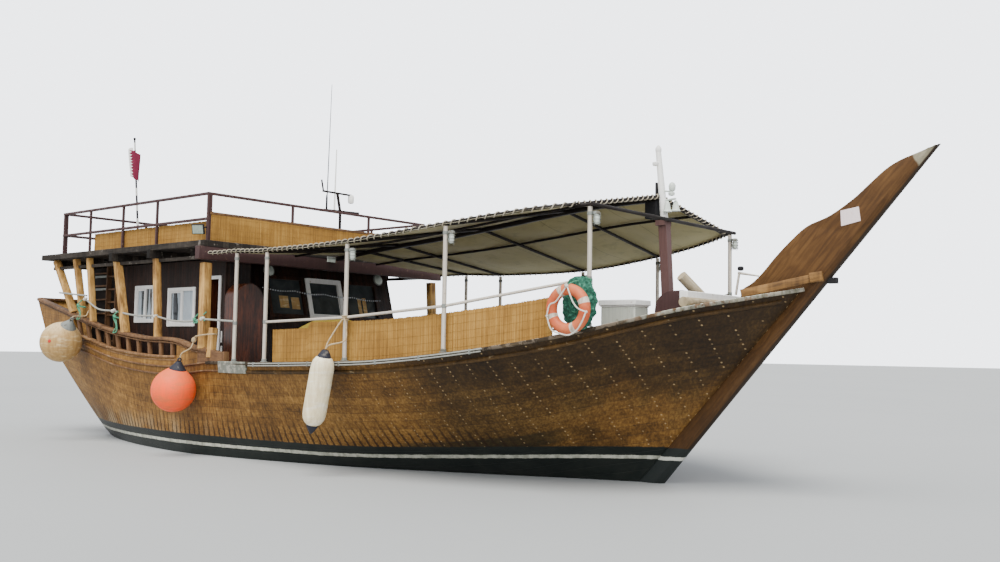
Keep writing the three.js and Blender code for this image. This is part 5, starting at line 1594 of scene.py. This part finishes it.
for name, side in SIDES.items():
    poles, fittings, caps = [], [], []
    tops = []
    for x, head in POLES:
        y, z = pole_side(x)
        y, z = float(side * y), float(z)
        poles.append(rod((x, y, z), (x, y, head), 0.036, sides=20, points=8))
        fittings.append(turned([(0.07, 0.0), (0.07, 0.008), (0.045, 0.012), (0.045, 0.05), (0.039, 0.055)],
                               (x, y, z)))
        fittings.append(turned([(0.04, 0.0), (0.044, 0.004), (0.044, 0.05), (0.04, 0.054)],
                               (x, y, head - 0.13)))
        fittings.append(turned([(0.037, 0.0), (0.041, 0.003), (0.041, 0.06), (0.037, 0.063)],
                               (x, y, z + HANDRAIL - 0.03)))
        tops.append((x, y, z + HANDRAIL))
    rails = [rod(a, b, 0.024, sides=14, points=4) for a, b in zip(tops[1:], tops[2:])]
    piece(f"poles_{name}", poles + rails, PIPE, "pale",
          stands_for=(f"canopy_poles_{name}", f"canopy_post_{name}"))
    piece(f"pole_fittings_{name}", fittings, GREY_METAL, "pale")

ridge_x = np.linspace(CANOPY_AFT, 5.7, 40)
bars = [carried(np.column_stack([ridge_x, 0 * ridge_x, along(*RIDGE, ridge_x)]), rounded(0.085, 0.085, 0.01))]
for x in (*RAFTERS, 5.72):
    y = float(edge_y(np.array([x]))[0])
    for side in (STARBOARD, PORT):
        bars.append(rod((x, 0, float(rafter_z(x, 0.0))), (x, side * y, float(rafter_z(x, y))), 0.028,
                        sides=12, points=5))
for y in (-1.15, 1.15):
    bars.append(carried(np.column_stack([ridge_x, np.full(40, y), rafter_z(ridge_x, y)]), circle(0.024, 10)))
front_reach = float(pole_side(5.89)[0])
bars.append(rod((5.958, -front_reach - 0.06, 4.331), (5.958, front_reach + 0.06, 4.331), 0.03, sides=16,
                points=6))
for side in (STARBOARD, PORT):
    y = float(edge_y(np.array([5.72]))[0])
    bars.append(rod((5.72, side * y, float(rafter_z(5.72, y))),
                    (5.835, side * (front_reach + 0.02), 4.331), 0.028))
    bars.append(rod((5.82, side * (front_reach + 0.02), 4.331), (5.978, side * front_reach, 4.331), 0.028))
eave = {}
for side in (STARBOARD, PORT):
    x = np.linspace(-2.33, 5.74, 160)
    y = side * (edge_y(x) + 0.03)
    eave[side] = np.column_stack([x, y, canopy_z(x, y) + 0.045])
    bars.append(carried(eave[side], circle(0.026, 10)))
front_y = np.linspace(-1, 1, 81) * (float(edge_y(np.array([5.74]))[0]) + 0.03)
eave["front"] = np.column_stack([np.full(81, 5.76), front_y, canopy_z(np.full(81, 5.74), front_y) + 0.045])
bars.append(carried(eave["front"], circle(0.026, 10)))
piece("canopy_bars", bars, DARK_PIPE, "pale", stands_for=("canopy_frame",))


def canvas_sheet(thick=0.003):
    """Canvas over the frame: the frame line plus a lift, sagging between rafters and purlins by the
    square of a sine, and turned down at its edges; two faces joined round the edge."""
    u, v = np.linspace(0, 1, 150)[:, None], np.linspace(-1, 1, 81)[None]
    x = CANOPY_AFT + 8.1 * u
    reach = edge_y(x) + 0.055
    y = reach * v
    stops = np.array([CANOPY_AFT, *RAFTERS, CANOPY_FORE])
    k = np.clip(np.searchsorted(stops, x, side="right") - 1, 0, 4)
    share = (x - stops[k]) / (stops[k + 1] - stops[k])
    lines = np.array([-1.0, -0.42, 0.0, 0.42, 1.0])
    m = np.clip(np.searchsorted(lines, v, side="right") - 1, 0, 3)
    share_y = (v - lines[m]) / (lines[m + 1] - lines[m])
    sag = 0.05 * np.sin(math.pi * share) ** 2 * np.sin(math.pi * share_y) ** 2
    wave = 0.006 * np.sin(7.0 * x + 3.0 * v) * np.sin(2.3 * x - 9.0 * v)
    edge = np.maximum(np.maximum(np.abs(v) - 0.975, 0) / 0.025, np.maximum(u - 0.992, 0) / 0.008)
    z = canopy_z(x, y) + 0.0665 - sag + wave - 0.035 * edge ** 2
    under = np.stack(np.broadcast_arrays(x, y, z), -1)
    over = under + (0, 0, thick)
    rows, cols = z.shape
    ring = np.concatenate([under, over[:, ::-1]], 1)
    flat_uv = np.stack(np.broadcast_arrays(y, x), -1)
    uv = np.concatenate([flat_uv, flat_uv[:, ::-1]], 1)
    uv = np.concatenate([uv, uv[:, :1]], 1)
    body = grid(ring, around=True, uv=uv)
    j = np.arange(cols - 1)
    ends = []
    for row in (0, rows - 1):
        base = row * 2 * cols
        ends.append(np.stack([base + j, base + j + 1, base + 2 * cols - 2 - j, base + 2 * cols - 1 - j], 1))
    ends = np.concatenate(ends)
    return body._replace(faces=np.concatenate([body.faces, ends]),
                         uv=np.concatenate([body.uv, np.zeros((len(ends), 4, 2))]))


canvas = piece("canopy_canvas", [canvas_sheet()], CANVAS, "canvas", stands_for=("canopy",), crease=50)


def flat_area(points):
    """Area of a grid of points, from the cross products of its cells' diagonals."""
    one, two = points[1:, 1:] - points[:-1, :-1], points[:-1, 1:] - points[1:, :-1]
    return float(np.linalg.norm(np.cross(one, two), axis=-1).sum() / 2)


def cut_of(points):
    """Width, length and area of the flat cloth that a grid of points was cut from."""
    across = np.linalg.norm(np.diff(points, axis=1), axis=-1).sum(1).max()
    down = np.linalg.norm(np.diff(points, axis=0), axis=-1).sum(0).max()
    area = flat_area(points)
    return dict(flat=(float(across), float(down)), area=min(area, float(across * down)))


upper = canvas_sheet().points[:150 * 162].reshape(150, 162, 3)[:, :81]
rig.sheet(canvas, held="stretched", rests_on=("canopy_bars",), **cut_of(upper))


def helix(path, radius, pitch, per_turn=10):
    """Line that winds round a path at a radius, one turn each pitch."""
    path = np.asarray(path, float)
    run = np.concatenate([[0], np.cumsum(np.linalg.norm(np.diff(path, axis=0), axis=1))])
    at = np.linspace(0, run[-1], int(run[-1] / pitch * per_turn))
    place = np.column_stack([np.interp(at, run, path[:, k]) for k in range(3)])
    ahead = unit(np.gradient(place, axis=0))
    side = unit(np.cross(ahead, (0, 0, 1.0)))
    rise = np.cross(side, ahead)
    turn = (at / pitch * TURN)[:, None]
    return place + radius * (np.cos(turn) * side + np.sin(turn) * rise)


lacing = [carried(helix(eave[key], 0.036, 0.15, 16), circle(0.0095, 6)) for key in (STARBOARD, PORT, "front")]
piece("canopy_lacing", lacing, LACING, "canvas")

# Mast, radio mast, flagstaff, lamps

eased("mast", MAST_PAINT, "paint", 0.012)
piece("mast_head", [
    rod((5.845, 0, 4.334), (5.72, 0, 5.5), 0.066, 0.045, 24, 8),
    turned([(0.045, 0.0), (0.052, 0.03), (0.05, 0.07), (0.03, 0.1), (0.012, 0.12)], (5.72, 0, 5.49)),
    turned([(0.045, 0.0), (0.055, 0.015), (0.055, 0.05), (0.045, 0.06)], (5.7, -0.05, 5.26)),
], WHITE, "white", stands_for=("mast_top",))
bell = [(0.018, 0.0), (0.03, -0.02), (0.045, -0.06), (0.055, -0.13), (0.075, -0.17), (0.08, -0.18),
        (0.07, -0.178)]
piece("mast_fittings", [
    turned(bell, (5.94, -0.07, 4.64)), turned(bell, (6.03, 0.05, 4.66)),
    rod((5.82, 0, 4.66), (6.06, 0, 4.68), 0.018),
    rod((5.8, 0, 4.83), (6.0, -0.02, 4.8), 0.014),
    turned([(0.02, 0.0), (0.05, 0.01), (0.055, 0.05), (0.03, 0.07)], (5.99, -0.02, 4.73)),
    turned([(0.04, 0.0), (0.055, 0.03), (0.058, 0.09), (0.04, 0.13), (0.015, 0.145)], (6.0, -0.02, 4.81)),
], LAMP_GLASS, "white")
piece("mast_box", [crate((5.52, -0.1, 4.37), (5.74, 0.1, 4.66)),
                   crate((5.68, -0.04, 4.64), (5.72, 0.04, 4.98)),
                   crate((5.9, -0.05, 4.5), (5.99, -0.02, 4.56))], BLACK, "dark", bevel=0.01)

radio = [stick((-3.0, 0.6, 4.181), (-3.0, 0.6, 5.24), 0.05, 0.05, 0.008),
         stick((-3.0, 0.6, 5.2), (-3.0, 0.5, 5.63), 0.05, 0.05, 0.008),
         stick((-3.0, 0.08, 5.618), (-3.0, 0.92, 5.618), 0.04, 0.04, 0.006),
         stick((-3.0, 0.13, 5.205), (-3.0, 1.16, 5.237), 0.04, 0.04, 0.006),
         stick((-3.0, 0.1, 5.6), (-3.0, 0.037, 5.868), 0.03, 0.03, 0.005),
         crate((-3.07, 0.53, 4.181), (-2.93, 0.67, 4.19))]
piece("radio_post", radio, DARK_PIPE, "pale", stands_for=("radio_mast",))
piece("radio_aerials", [rod((-3.0, 0.2, 5.19), (-3.0, 0.257, 8.06), 0.014, 0.006, 10, 8),
                        turned([(0.02, 0), (0.022, 0.02), (0.022, 0.3), (0.016, 0.34), (0.014, 0.36)],
                               (-3.0, 0.2, 5.19))], BLACK, "pale")
piece("radio_white_parts", [rod((-3.0, 0.428, 5.2), (-3.0, 0.448, 6.605), 0.02, 0.012, 12, 6),
                            turned([(0.03, 0.0), (0.06, 0.01), (0.068, 0.05), (0.068, 0.15), (0.05, 0.19),
                                    (0.02, 0.205)], (-3.0, 0.912, 5.43))], WHITE, "white")
STAFF_Y = -2.09
STAFF_FOOT, STAFF_HEAD = np.array([-6.834, STAFF_Y, 4.1815]), np.array([-7.213, STAFF_Y, 6.92])
piece("staff", [
    rod(STAFF_FOOT, STAFF_HEAD, 0.027, 0.019, 18, 10),
    turned([(0.02, 0.0), (0.032, 0.015), (0.03, 0.035), (0.012, 0.05)], STAFF_HEAD - (0, 0, 0.01)),
    turned([(0.05, 0.0), (0.05, 0.02), (0.035, 0.03)], STAFF_FOOT),
], BANDED, "dark", stands_for=("flagstaff",))


def tilted_box(centre, normal, size):
    """Box of width, height and depth about a centre, its front turned to a normal."""
    normal = unit(np.asarray(normal, float))
    side = unit(np.cross((0, 0, 1.0), normal))
    rise = np.cross(normal, side)
    box = crate((-0.5, -0.5, -0.5), (0.5, 0.5, 0.5))
    points = box.points * np.asarray(size)
    return box._replace(points=np.asarray(centre) + points @ np.stack([side, rise, normal]))


LIGHT_AT, LIGHT_TO = np.array([-2.86, -3.17, 4.42]), np.array([0.5, -0.8, -0.3])
piece("floodlight_panel", [tilted_box(LIGHT_AT, LIGHT_TO, (0.25, 0.2, 0.05)),
                           rod(LIGHT_AT, (-2.745, -3.06, 4.47), 0.018, sides=8)], BLACK, "dark", bevel=0.008,
      stands_for=("floodlight",))
piece("floodlight_glass", [tilted_box(LIGHT_AT + 0.027 * unit(LIGHT_TO), LIGHT_TO, (0.215, 0.165, 0.008))],
      LIGHT_GREEN, "white")


def flag_cloth():
    """Cloth that hangs from the staff in folds: from its hoist it goes a little aft, folds back and
    flies forward, swings to and fro, and droops more the further it is from the staff."""
    u, v = np.linspace(0, 1, 90)[:, None], np.linspace(0, 1, 40)[None]
    z = 6.72 - 0.66 * v - 0.2 * u ** 1.3 + 0.012 * np.sin(u * TURN * 2 + v * 4)
    run, rise = STAFF_HEAD[0] - STAFF_FOOT[0], STAFF_HEAD[2] - STAFF_FOOT[2]
    hoist = STAFF_FOOT[0] + run * (z - STAFF_FOOT[2]) / rise
    reach = along([0, 0.14, 0.28, 0.45, 1.0], [-0.02, -0.12, -0.13, 0.0, 0.26], u)
    x = hoist + reach * (0.85 + 0.15 * np.cos(3.0 * v)) + 0.02 * np.sin(u * TURN * 2.4 + v * 0.9) * u
    y = (STAFF_Y - 0.035 - 0.05 * np.sin(math.pi * np.minimum(u * 1.6, 1.0))
         + 0.03 * np.sin(u * TURN * 2.5 + v * 2.0) * u)
    points = np.stack(np.broadcast_arrays(x, y, z), -1)
    uv = np.stack(np.broadcast_arrays(u * 0.9, v * 0.7), -1)
    return points, uv


flag_points, flag_uv = flag_cloth()
flag = piece("flag_cloth", [grid(flag_points, uv=flag_uv)], FLAG_CLOTH, "flag", stands_for=("flag",),
             closed=False, crease=80)
thick = flag.modifiers.new("cloth", "SOLIDIFY")
thick.thickness = 0.0015
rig.sheet(flag, held="hung", rests_on=("staff",), **cut_of(flag_points))

# Fenders and lifebuoy


def fender_ball(name, centre, radius, lean, skin_finish, slot, node, cap_finish):
    """Pear: a sphere up to 48 degrees, then nearly straight to a neck, with a cone cap and an eye."""
    axis = unit(np.asarray(lean, float))
    turn = np.linspace(-math.pi / 2 + 0.02, math.radians(48), 22)
    body = [(radius * math.cos(a), radius * math.sin(a)) for a in turn]
    neck, high = 0.3 * radius, 1.04 * radius
    body += [(radius * r, radius * h) for r, h in ((0.6, 0.805), (0.5, 0.89), (0.4, 0.965), (0.3, 1.035),
                                                   (0.1, 1.04))]
    piece(name, [turned(body, centre, axis, 48)], skin_finish, slot, stands_for=(node,), crease=60)
    cap = [(neck * 1.35, high - 0.12 * radius), (neck * 1.3, high - 0.07 * radius),
           (neck * 1.05, high + 0.03 * radius), (neck * 0.75, high + 0.14 * radius),
           (neck * 0.5, high + 0.25 * radius), (neck * 0.38, high + 0.3 * radius)]
    top = np.asarray(centre) + axis * (high + 0.3 * radius + 0.035)
    eye = ring_of(0.035, 0.014, top, np.cross(axis, (0, 1.0, 0)), 24, 10)
    piece(name + "_cap", [turned(cap, centre, axis, 32), eye], cap_finish, "dark")
    return top


def hemp(points, radius=0.013, count=60):
    return carried(through(points, count), circle(radius, 8), up=(0, 1, 0))


stern_eye = fender_ball("fender_stern_ball", (-7.33, -3.59, 2.161), 0.44, (0.6, 0.05, 0.8), CREAM, "cream",
                        "fender_stern", GREY_METAL)
ball_eye = fender_ball("fender_orange_ball", (-2.838, -3.6, 1.269), 0.42, (0.25, 0.02, 1.0), ORANGE, "orange",
                       "fender_ball", NAVY)


def long_fender():
    """Cylinder with round ends narrowing to a collar at the top and a pointed cone at the foot."""
    lean = unit(np.array([0.2268, 0.0, 1.0]))
    base = np.array([1.515, -3.68, 1.402]) - lean * 0.48
    body = [(0.09, -0.09), (0.14, -0.05), (0.175, 0.01), (0.19, 0.08), (0.195, 0.16), (0.196, 0.5),
            (0.195, 0.84), (0.188, 0.92), (0.17, 0.99), (0.13, 1.05), (0.09, 1.075)]
    foot = [(0.006, -0.24), (0.02, -0.235), (0.05, -0.19), (0.085, -0.13), (0.1, -0.095), (0.098, -0.085),
            (0.09, -0.08)]
    head = [(0.11, 1.05), (0.115, 1.06), (0.1, 1.1), (0.07, 1.15), (0.05, 1.18)]
    piece("fender_long_body", [turned(body, base, lean, 48)], IVORY, "cream", stands_for=("fender_long",))
    piece("fender_long_ends", [turned(foot, base, lean, 32), turned(head, base, lean, 32)], NAVY, "dark")
    return base + lean * 1.2


long_eye = long_fender()
pole_y = -float(pole_side(1.78)[0])
corner = np.array([-2.36, -3.22, 2.32])
loop = [corner + (0.27 * math.cos(a) - 0.02, 0.17 * math.sin(a), 0.03 * math.cos(a))
        for a in np.linspace(-2.6, 3.5, 14)]
grip = (1.78, pole_y, 2.62)
piece("fender_ropes", [
    hemp([stern_eye, stern_eye + (0.02, 0.02, 0.06), (-7.03, -3.2, 2.75), (-7.02, -3.14, 2.86),
          (-6.98, -3.1, 2.9)]),
    hemp([ball_eye, ball_eye + (0.02, 0.03, 0.12), (-2.62, -3.4, 2.08), (-2.63, -3.33, 2.22)]),
    hemp([(-2.63, -3.33, 2.22), (-2.6, -3.34, 2.28), *loop], count=120),
    turned([(0.02, -0.05), (0.045, -0.03), (0.05, 0.0), (0.045, 0.03), (0.02, 0.05)],
           (-2.625, -3.33, 2.235), (0.3, 0, 1)),
    hemp([long_eye, long_eye + (0.01, 0.03, 0.1), (1.74, -3.48, 2.5), (1.77, pole_y - 0.05, 2.6)]),
    hemp([long_eye, long_eye + (0.06, 0.02, 0.06), (1.9, -3.47, 2.25), (1.86, -3.42, 2.5),
          (1.8, pole_y - 0.05, 2.62)]),
    ring_of(0.052, 0.013, grip, (0, 0, 1), 32, 8),
    ring_of(0.053, 0.013, np.add(grip, (0, 0, 0.028)), (0, 0, 1), 32, 8),
    ring_of(0.052, 0.013, np.add(grip, (0, 0, -0.028)), (0.1, 0, 1), 32, 8),
], ROPE, "cream")
piece("fender_mark", [turned([(0.035, -0.004), (0.035, 0.004), (0.02, 0.008)], (-7.103, -3.965, 2.177),
                             (0.515, -0.85, 0.04), 20)], RED_MARK, "orange")
BUOY = (5.839, -2.66, 2.741)
piece("lifebuoy_ring", [ring_of(0.29, 0.084, BUOY, (-0.05, 1, 0), 96, 20)], BUOY_SKIN, "orange",
      stands_for=("lifebuoy",))


def bead(place, size, sides=12, rows=6):
    """Ellipsoid about a place, with half sizes along X, Y and Z."""
    turn = np.linspace(-math.pi / 2 + 0.15, math.pi / 2 - 0.15, rows)
    ball = turned(np.column_stack([np.cos(turn), np.sin(turn)]), (0, 0, 0), sides=sides)
    return moved(ball, place, size)


piece("lifebuoy_line", [hemp([(5.88, -2.76, 3.07), (5.78, -2.79, 2.92), (5.7, -2.79, 2.84),
                              (5.6, -2.79, 2.8), (5.54, -2.78, 2.64)], 0.011),
                        hemp([(5.89, -2.76, 3.07), (5.97, -2.8, 2.95), (6.03, -2.8, 2.83),
                              (6.12, -2.8, 2.74), (6.23, -2.76, 2.69)], 0.011),
                        hemp([(6.23, -2.76, 2.69), (6.19, -2.8, 2.55), (6.1, -2.8, 2.43),
                              (5.95, -2.79, 2.36), (5.79, -2.78, 2.38), (5.62, -2.77, 2.44),
                              (5.54, -2.78, 2.64)], 0.011),
                        bead((5.885, -2.77, 3.075), (0.035, 0.03, 0.035)),
                        bead((6.23, -2.755, 2.69), (0.022, 0.022, 0.022)),
                        bead((5.54, -2.775, 2.64), (0.022, 0.022, 0.022))], WHITE_ROPE, "white")


def net_heap():
    """Net hung in a heap: an ellipsoid whose radius swells and shrinks with the sum of sines."""
    a, h = np.meshgrid(np.linspace(0, TURN, 72, endpoint=False), np.linspace(-1.45, 1.45, 48))
    lump = 1 + 0.1 * np.sin(5 * a + 3 * h) + 0.07 * np.sin(11 * a - 6 * h) + 0.05 * np.sin(17 * h + 4 * a)
    x = 5.83 + (0.24 + 0.04 * np.cos(h * 2)) * np.cos(h) ** 0.6 * np.cos(a) * lump
    y = -2.38 + 0.13 * np.cos(h) ** 0.6 * np.sin(a) * lump
    z = 2.84 + 0.4 * np.sin(h) / np.sin(1.45)
    return grid(np.stack([x, y, z], -1), around=True, capped=True)


net = piece("net_heap", [net_heap()], NET, "mat", crease=80)
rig.padded(net, 0.35)
piece("net_coils", [ring_of(r, 0.007, (5.86 + 0.02 * k, -2.52, 2.8 + 0.04 * k), (0.15, 1, 0.1 * k), 32, 6)
                    for k, r in enumerate((0.1, 0.14, 0.17, 0.12))]
      + [ring_of(0.05, 0.011, (5.89, -2.21, 3.1 + 0.03 * k), (0.1 * k, 0.05, 1), 24, 6) for k in range(5)]
      + [hemp([(5.9, -2.3, 3.1), (5.88, -2.5, 3.16), (5.88, -2.72, 3.1)], 0.01)],
      GREEN_ROPE, "canvas")

# Lamps, string of bulbs, cover, hoses and pipes


def guarded_lamp(x, y, z):
    """Hanging lamp: a cap, a glass and a guard of rings and bars."""
    glass = [(0.03, 0.0), (0.045, -0.02), (0.048, -0.1), (0.035, -0.14), (0.012, -0.155)]
    cap = [(0.015, 0.05), (0.04, 0.045), (0.058, 0.02), (0.06, 0.0), (0.035, -0.004)]
    guard = [ring_of(0.062, 0.0045, (x, y, z - d), (0, 0, 1), 20, 6) for d in (0.03, 0.08, 0.13)]
    guard += [rod((x + 0.062 * math.cos(a), y + 0.062 * math.sin(a), z),
                  (x + 0.05 * math.cos(a), y + 0.05 * math.sin(a), z - 0.17), 0.004, sides=6)
              for a in np.arange(4) * TURN / 4]
    return turned(glass, (x, y, z), sides=16), [turned(cap, (x, y, z), sides=16), *guard]


glasses, guards = [], []
for x in (1.78, 3.795, 5.89):
    for side in (STARBOARD, PORT):
        y = float(pole_side(x)[0])
        hang = dict(POLES)[x] - 0.1
        lamp_y = side * (y - 0.02)
        glass, metal = guarded_lamp(x + 0.11, lamp_y, hang - 0.02)
        glasses.append(glass)
        guards += metal + [rod((x, side * y, hang + 0.02), (x + 0.11, lamp_y, hang + 0.02), 0.01, sides=8)]
for y in (-1.07, 2.13):
    x = front_x(3.77)
    glasses.append(turned([(0.125, 0.0), (0.12, 0.02), (0.085, 0.045), (0.03, 0.058)], (x + 0.012, y, 3.77),
                          (1, 0, FRONT_RAKE), 28))
    guards.append(turned([(0.145, 0.0), (0.148, 0.012), (0.145, 0.02), (0.12, 0.024)], (x + 0.002, y, 3.77),
                         (1, 0, FRONT_RAKE), 28))
glasses.append(crate((-2.5, -0.2, 3.985), (-2.42, 0.0, 4.075)))
guards.append(crate((-2.51, -0.215, 4.06), (-2.41, 0.015, 4.1)))
piece("lamp_glasses", glasses, LAMP_GLASS, "white")
piece("lamp_guards", guards, GREY_METAL, "pale")

bulb_y = np.linspace(-1.34, 2.02, 52)
bulb_z = 3.4 - 0.12 * (bulb_y + 1.34) / 3.36 - 0.035 * np.abs(np.sin((bulb_y + 1.34) / 0.84 * math.pi))
bulb_x = front_x(bulb_z) + 0.075
face = front_x(3.36)
wire_ends = [crate((face - 0.005, y - 0.012, z - 0.012), (face + 0.085, y + 0.012, z + 0.012))
             for y, z in ((-1.34, 3.4), (2.02, 3.28))]
piece("bulb_wire", [carried(np.column_stack([bulb_x, bulb_y, bulb_z]), circle(0.004, 6)), *wire_ends],
      BLACK, "dark")
piece("bulbs", [bead((x, y, z - 0.014), (0.014, 0.014, 0.018), 8, 5)
                for x, y, z in zip(bulb_x, bulb_y, bulb_z)], BULB, "white")
PAPERS = [(-0.86, -0.62, 2.98, 3.24), (-0.54, -0.32, 2.96, 3.22), (1.4, 1.5, 2.86, 3.28),
          (1.55, 1.66, 2.9, 3.3)]
piece("cabin_papers", [on_front(*paper, -0.0335, -0.03) for paper in PAPERS], CREAM, "cream")

run, turn = np.linspace(0, 1, 30)[:, None], np.linspace(0, TURN, 40, endpoint=False)[None]
cover_x = -0.32 + 1.6 * run
hump = 0.2 + 0.09 * smooth(run, 0.1, 0.4) + 0.008 * np.sin(9 * run + 3 * turn)
round_off = np.sqrt(np.clip(1 - (2 * run - 1) ** 6, 0.02, 1))
cover_points = np.stack(np.broadcast_arrays(
    cover_x, -2.66 + 0.2 * round_off * np.cos(turn), 2.33 + hump * round_off * np.sin(turn) + 0.03 * run), -1)
cover = piece("seat_cover", [grid(cover_points, around=True, capped=True)], OLIVE, "mat", crease=80)
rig.padded(cover, 0.7)

HOSE_AT = [(-7.12, -3.17, 3.12), (-6.55, -3.18, 2.9), (-5.86, -3.2, 2.84), (-5.0, -3.2, 2.74),
           (-4.21, -3.2, 2.71), (-3.6, -3.2, 2.62), (-3.0, -3.2, 2.6), (-2.5, -3.24, 2.64)]
hose_path = through(HOSE_AT, 120)
hose = piece("rail_hose", [carried(hose_path, circle(0.019, 10))], HOSE, "pale")
hose_run = float(np.linalg.norm(np.diff(hose_path, axis=0), axis=1).sum())
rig.cord(hose, exit=tuple(hose_path[0].tolist()), length=hose_run, diameter=0.038, far_end="object",
        stiffness="medium", lay="hanging", path=hose_path.tolist())
piece("rail_pipes", [rod((-8.38, -3.14, 3.3), (-7.08, -3.17, 3.2), 0.02, sides=10),
                     rod((-2.5, -3.24, 2.64), (-1.47, -3.26, 2.59), 0.02, sides=10)]
      + [rod(on_side(a, sheer(a) + d, STARBOARD, o), on_side(c, sheer(c) + d, STARBOARD, o), 0.012, sides=8)
         for a, c in zip(np.linspace(0.52, 0.83, 14)[:-1], np.linspace(0.52, 0.83, 14)[1:])
         for d, o in ((0.035, 0.068), (-0.005, 0.068))], HOSE, "pale")
clips = []
for a in np.linspace(0.53, 0.82, 7):
    place = on_side(a, sheer(a) + 0.015, STARBOARD, 0.064)
    clips.append(crate(place - (0.014, 0.018, 0.04), place + (0.014, 0.018, 0.04)))
piece("pipe_clips", clips, GREY_METAL, "grey", bevel=0.003)
PATCH_SECTION = ((-0.15, 0.052), (0.055, 0.056), (0.064, 0.05), (0.064, -0.14), (0.055, -0.14), (0.05, 0.03),
                 (-0.15, 0.03))
patch_t = sheer_at(np.linspace(-1.86, -0.95, 12))
piece("gunwale_patch", [grid(np.stack([on_side(patch_t, sheer(patch_t) + z, STARBOARD, o)
                                       for z, o in PATCH_SECTION], 1),
                             around=True, capped=True)], PATCH, "grey")
ties = []
for place in (HOSE_AT[0], HOSE_AT[2], HOSE_AT[4], HOSE_AT[7]):
    ties += [bead(np.add(place, (0.0, -0.02, 0.0)), (0.055, 0.04, 0.04)),
             bead(np.add(place, (0.05, -0.02, 0.02)), (0.04, 0.035, 0.03))]
piece("hose_joints", ties, WHITE_ROPE, "white")
knots = []
for x, z, drop in ((-7.28, 2.98, 0.3), (-5.72, 2.72, 0.34), (-2.75, 2.63, 0.06), (-2.5, 2.66, 0.05)):
    y = -3.24
    knots += [hemp([(x + 0.12, y, z + 0.12), (x - 0.03, y - 0.02, z), (x + 0.06, y, z - drop * 0.6),
                    (x - 0.06, y, z - drop), (x + 0.1, y - 0.01, z - drop * 0.9),
                    (x + 0.05, y, z - drop * 0.3), (x - 0.08, y, z + 0.03)], 0.012, 50),
              ring_of(0.085, 0.013, (x + 0.02, y + 0.06, z - 0.02), (0.2, 0.1, 1), 24, 6),
              bead((x, y - 0.01, z), (0.05, 0.035, 0.04))]
piece("green_knots", knots, GREEN_ROPE, "canvas")

# Bow gear

HOLES = [(y, z) for z in (2.84, 2.915, 2.99) for y in np.arange(-0.84, 0.86, 0.08)]
piece("box_front", [crate((6.7505, -0.885, 2.79), (6.758, 0.885, 3.05))], MAST_PAINT, "paint")
piece("box_holes", [crate((6.7575, y - 0.024, z - 0.024), (6.7605, y + 0.024, z + 0.024))
                    for y, z in HOLES], BLACK, "dark")
piece("deck_chest", [crate((5.42, -1.22, 2.25), (6.06, -0.82, 2.84))], CHEST, "white", bevel=0.02)
piece("deck_chest_lid", [crate((5.39, -1.25, 2.86), (6.09, -0.79, 2.95)),
                         crate((5.41, -1.23, 2.835), (6.07, -0.81, 2.862))], WHITE, "white", bevel=0.02)
for name, side in SIDES.items():
    board = stick((7.62, side * 0.74, 3.03), (8.5, side * 0.17, 3.27), 0.05, 0.12, 0.01, points=6)
    piece(f"washboard_{name}", [board], TAN_WOOD, "timber")
    end = stick((8.46, side * 0.195, 3.27), (8.64, side * 0.15, 3.295), 0.09, 0.15, 0.012)
    piece(f"washboard_end_{name}", [end], TAN_WOOD, "timber")
piece("stem_fittings", [crate((8.66, -0.045, 3.19), (8.8, 0.045, 3.28)),
                        turned([(0.02, 0.0), (0.045, 0.01), (0.05, 0.05), (0.03, 0.07)], (7.44, -0.4, 3.4))],
      BLACK, "dark", bevel=0.006)
piece("bow_lamp", [rod((7.36, -0.4, 3.03), (7.42, -0.4, 3.38), 0.02, sides=8),
                   rod((7.4, -0.4, 3.37), (7.74, -0.4, 3.31), 0.022, 0.012, sides=10)], PIPE, "pale")
PLATE = [(8.9, 4.25), (9.17, 4.29), (9.2, 4.08), (8.91, 4.02)]
plate_points = [(x, y, z) for y in (-0.125, -0.095) for x, z in PLATE]
piece("stem_plate", [shape(plate_points, [[0, 1, 2, 3], [7, 6, 5, 4], [0, 4, 5, 1], [1, 5, 6, 2],
                                          [2, 6, 7, 3], [3, 7, 4, 0]])], PLATE_PAINT, "white", bevel=0.003)

piece("bow_logs", [
    rod((6.98, -1.33, 2.89), (6.98, 1.33, 2.89), 0.078, sides=20, points=10),
    rod((6.885, 0.225, 2.61), (6.49, -0.55, 3.35), 0.092, 0.086, 20, 8),
    crate((6.64, -0.25, 2.955), (6.83, -0.13, 3.035)),
], GREY_WOOD, "timber", stands_for=("bow_timbers",), bevel=0.004)
piece("bow_beam", [crate((6.82, -1.17, 2.945), (6.96, 1.17, 3.065))], WHITE, "timber", bevel=0.01)

# Floor at the waterline

floor_mesh = bpy.data.meshes.new("floor")
floor_mesh.from_pydata([(-300, -300, 0), (300, -300, 0), (300, 300, 0), (-300, 300, 0)], [], [(0, 1, 2, 3)])
floor_mesh.materials.append(FLOOR)
floor = bpy.data.objects.new("floor", floor_mesh)
bpy.context.collection.objects.link(floor)
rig.stage(floor)

box_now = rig.bounds()
with open("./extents.json", "w") as out:
    json.dump({"cad": [list(map(float, v)) for v in cad_box],
               "visual": [list(map(float, v)) for v in box_now]}, out)
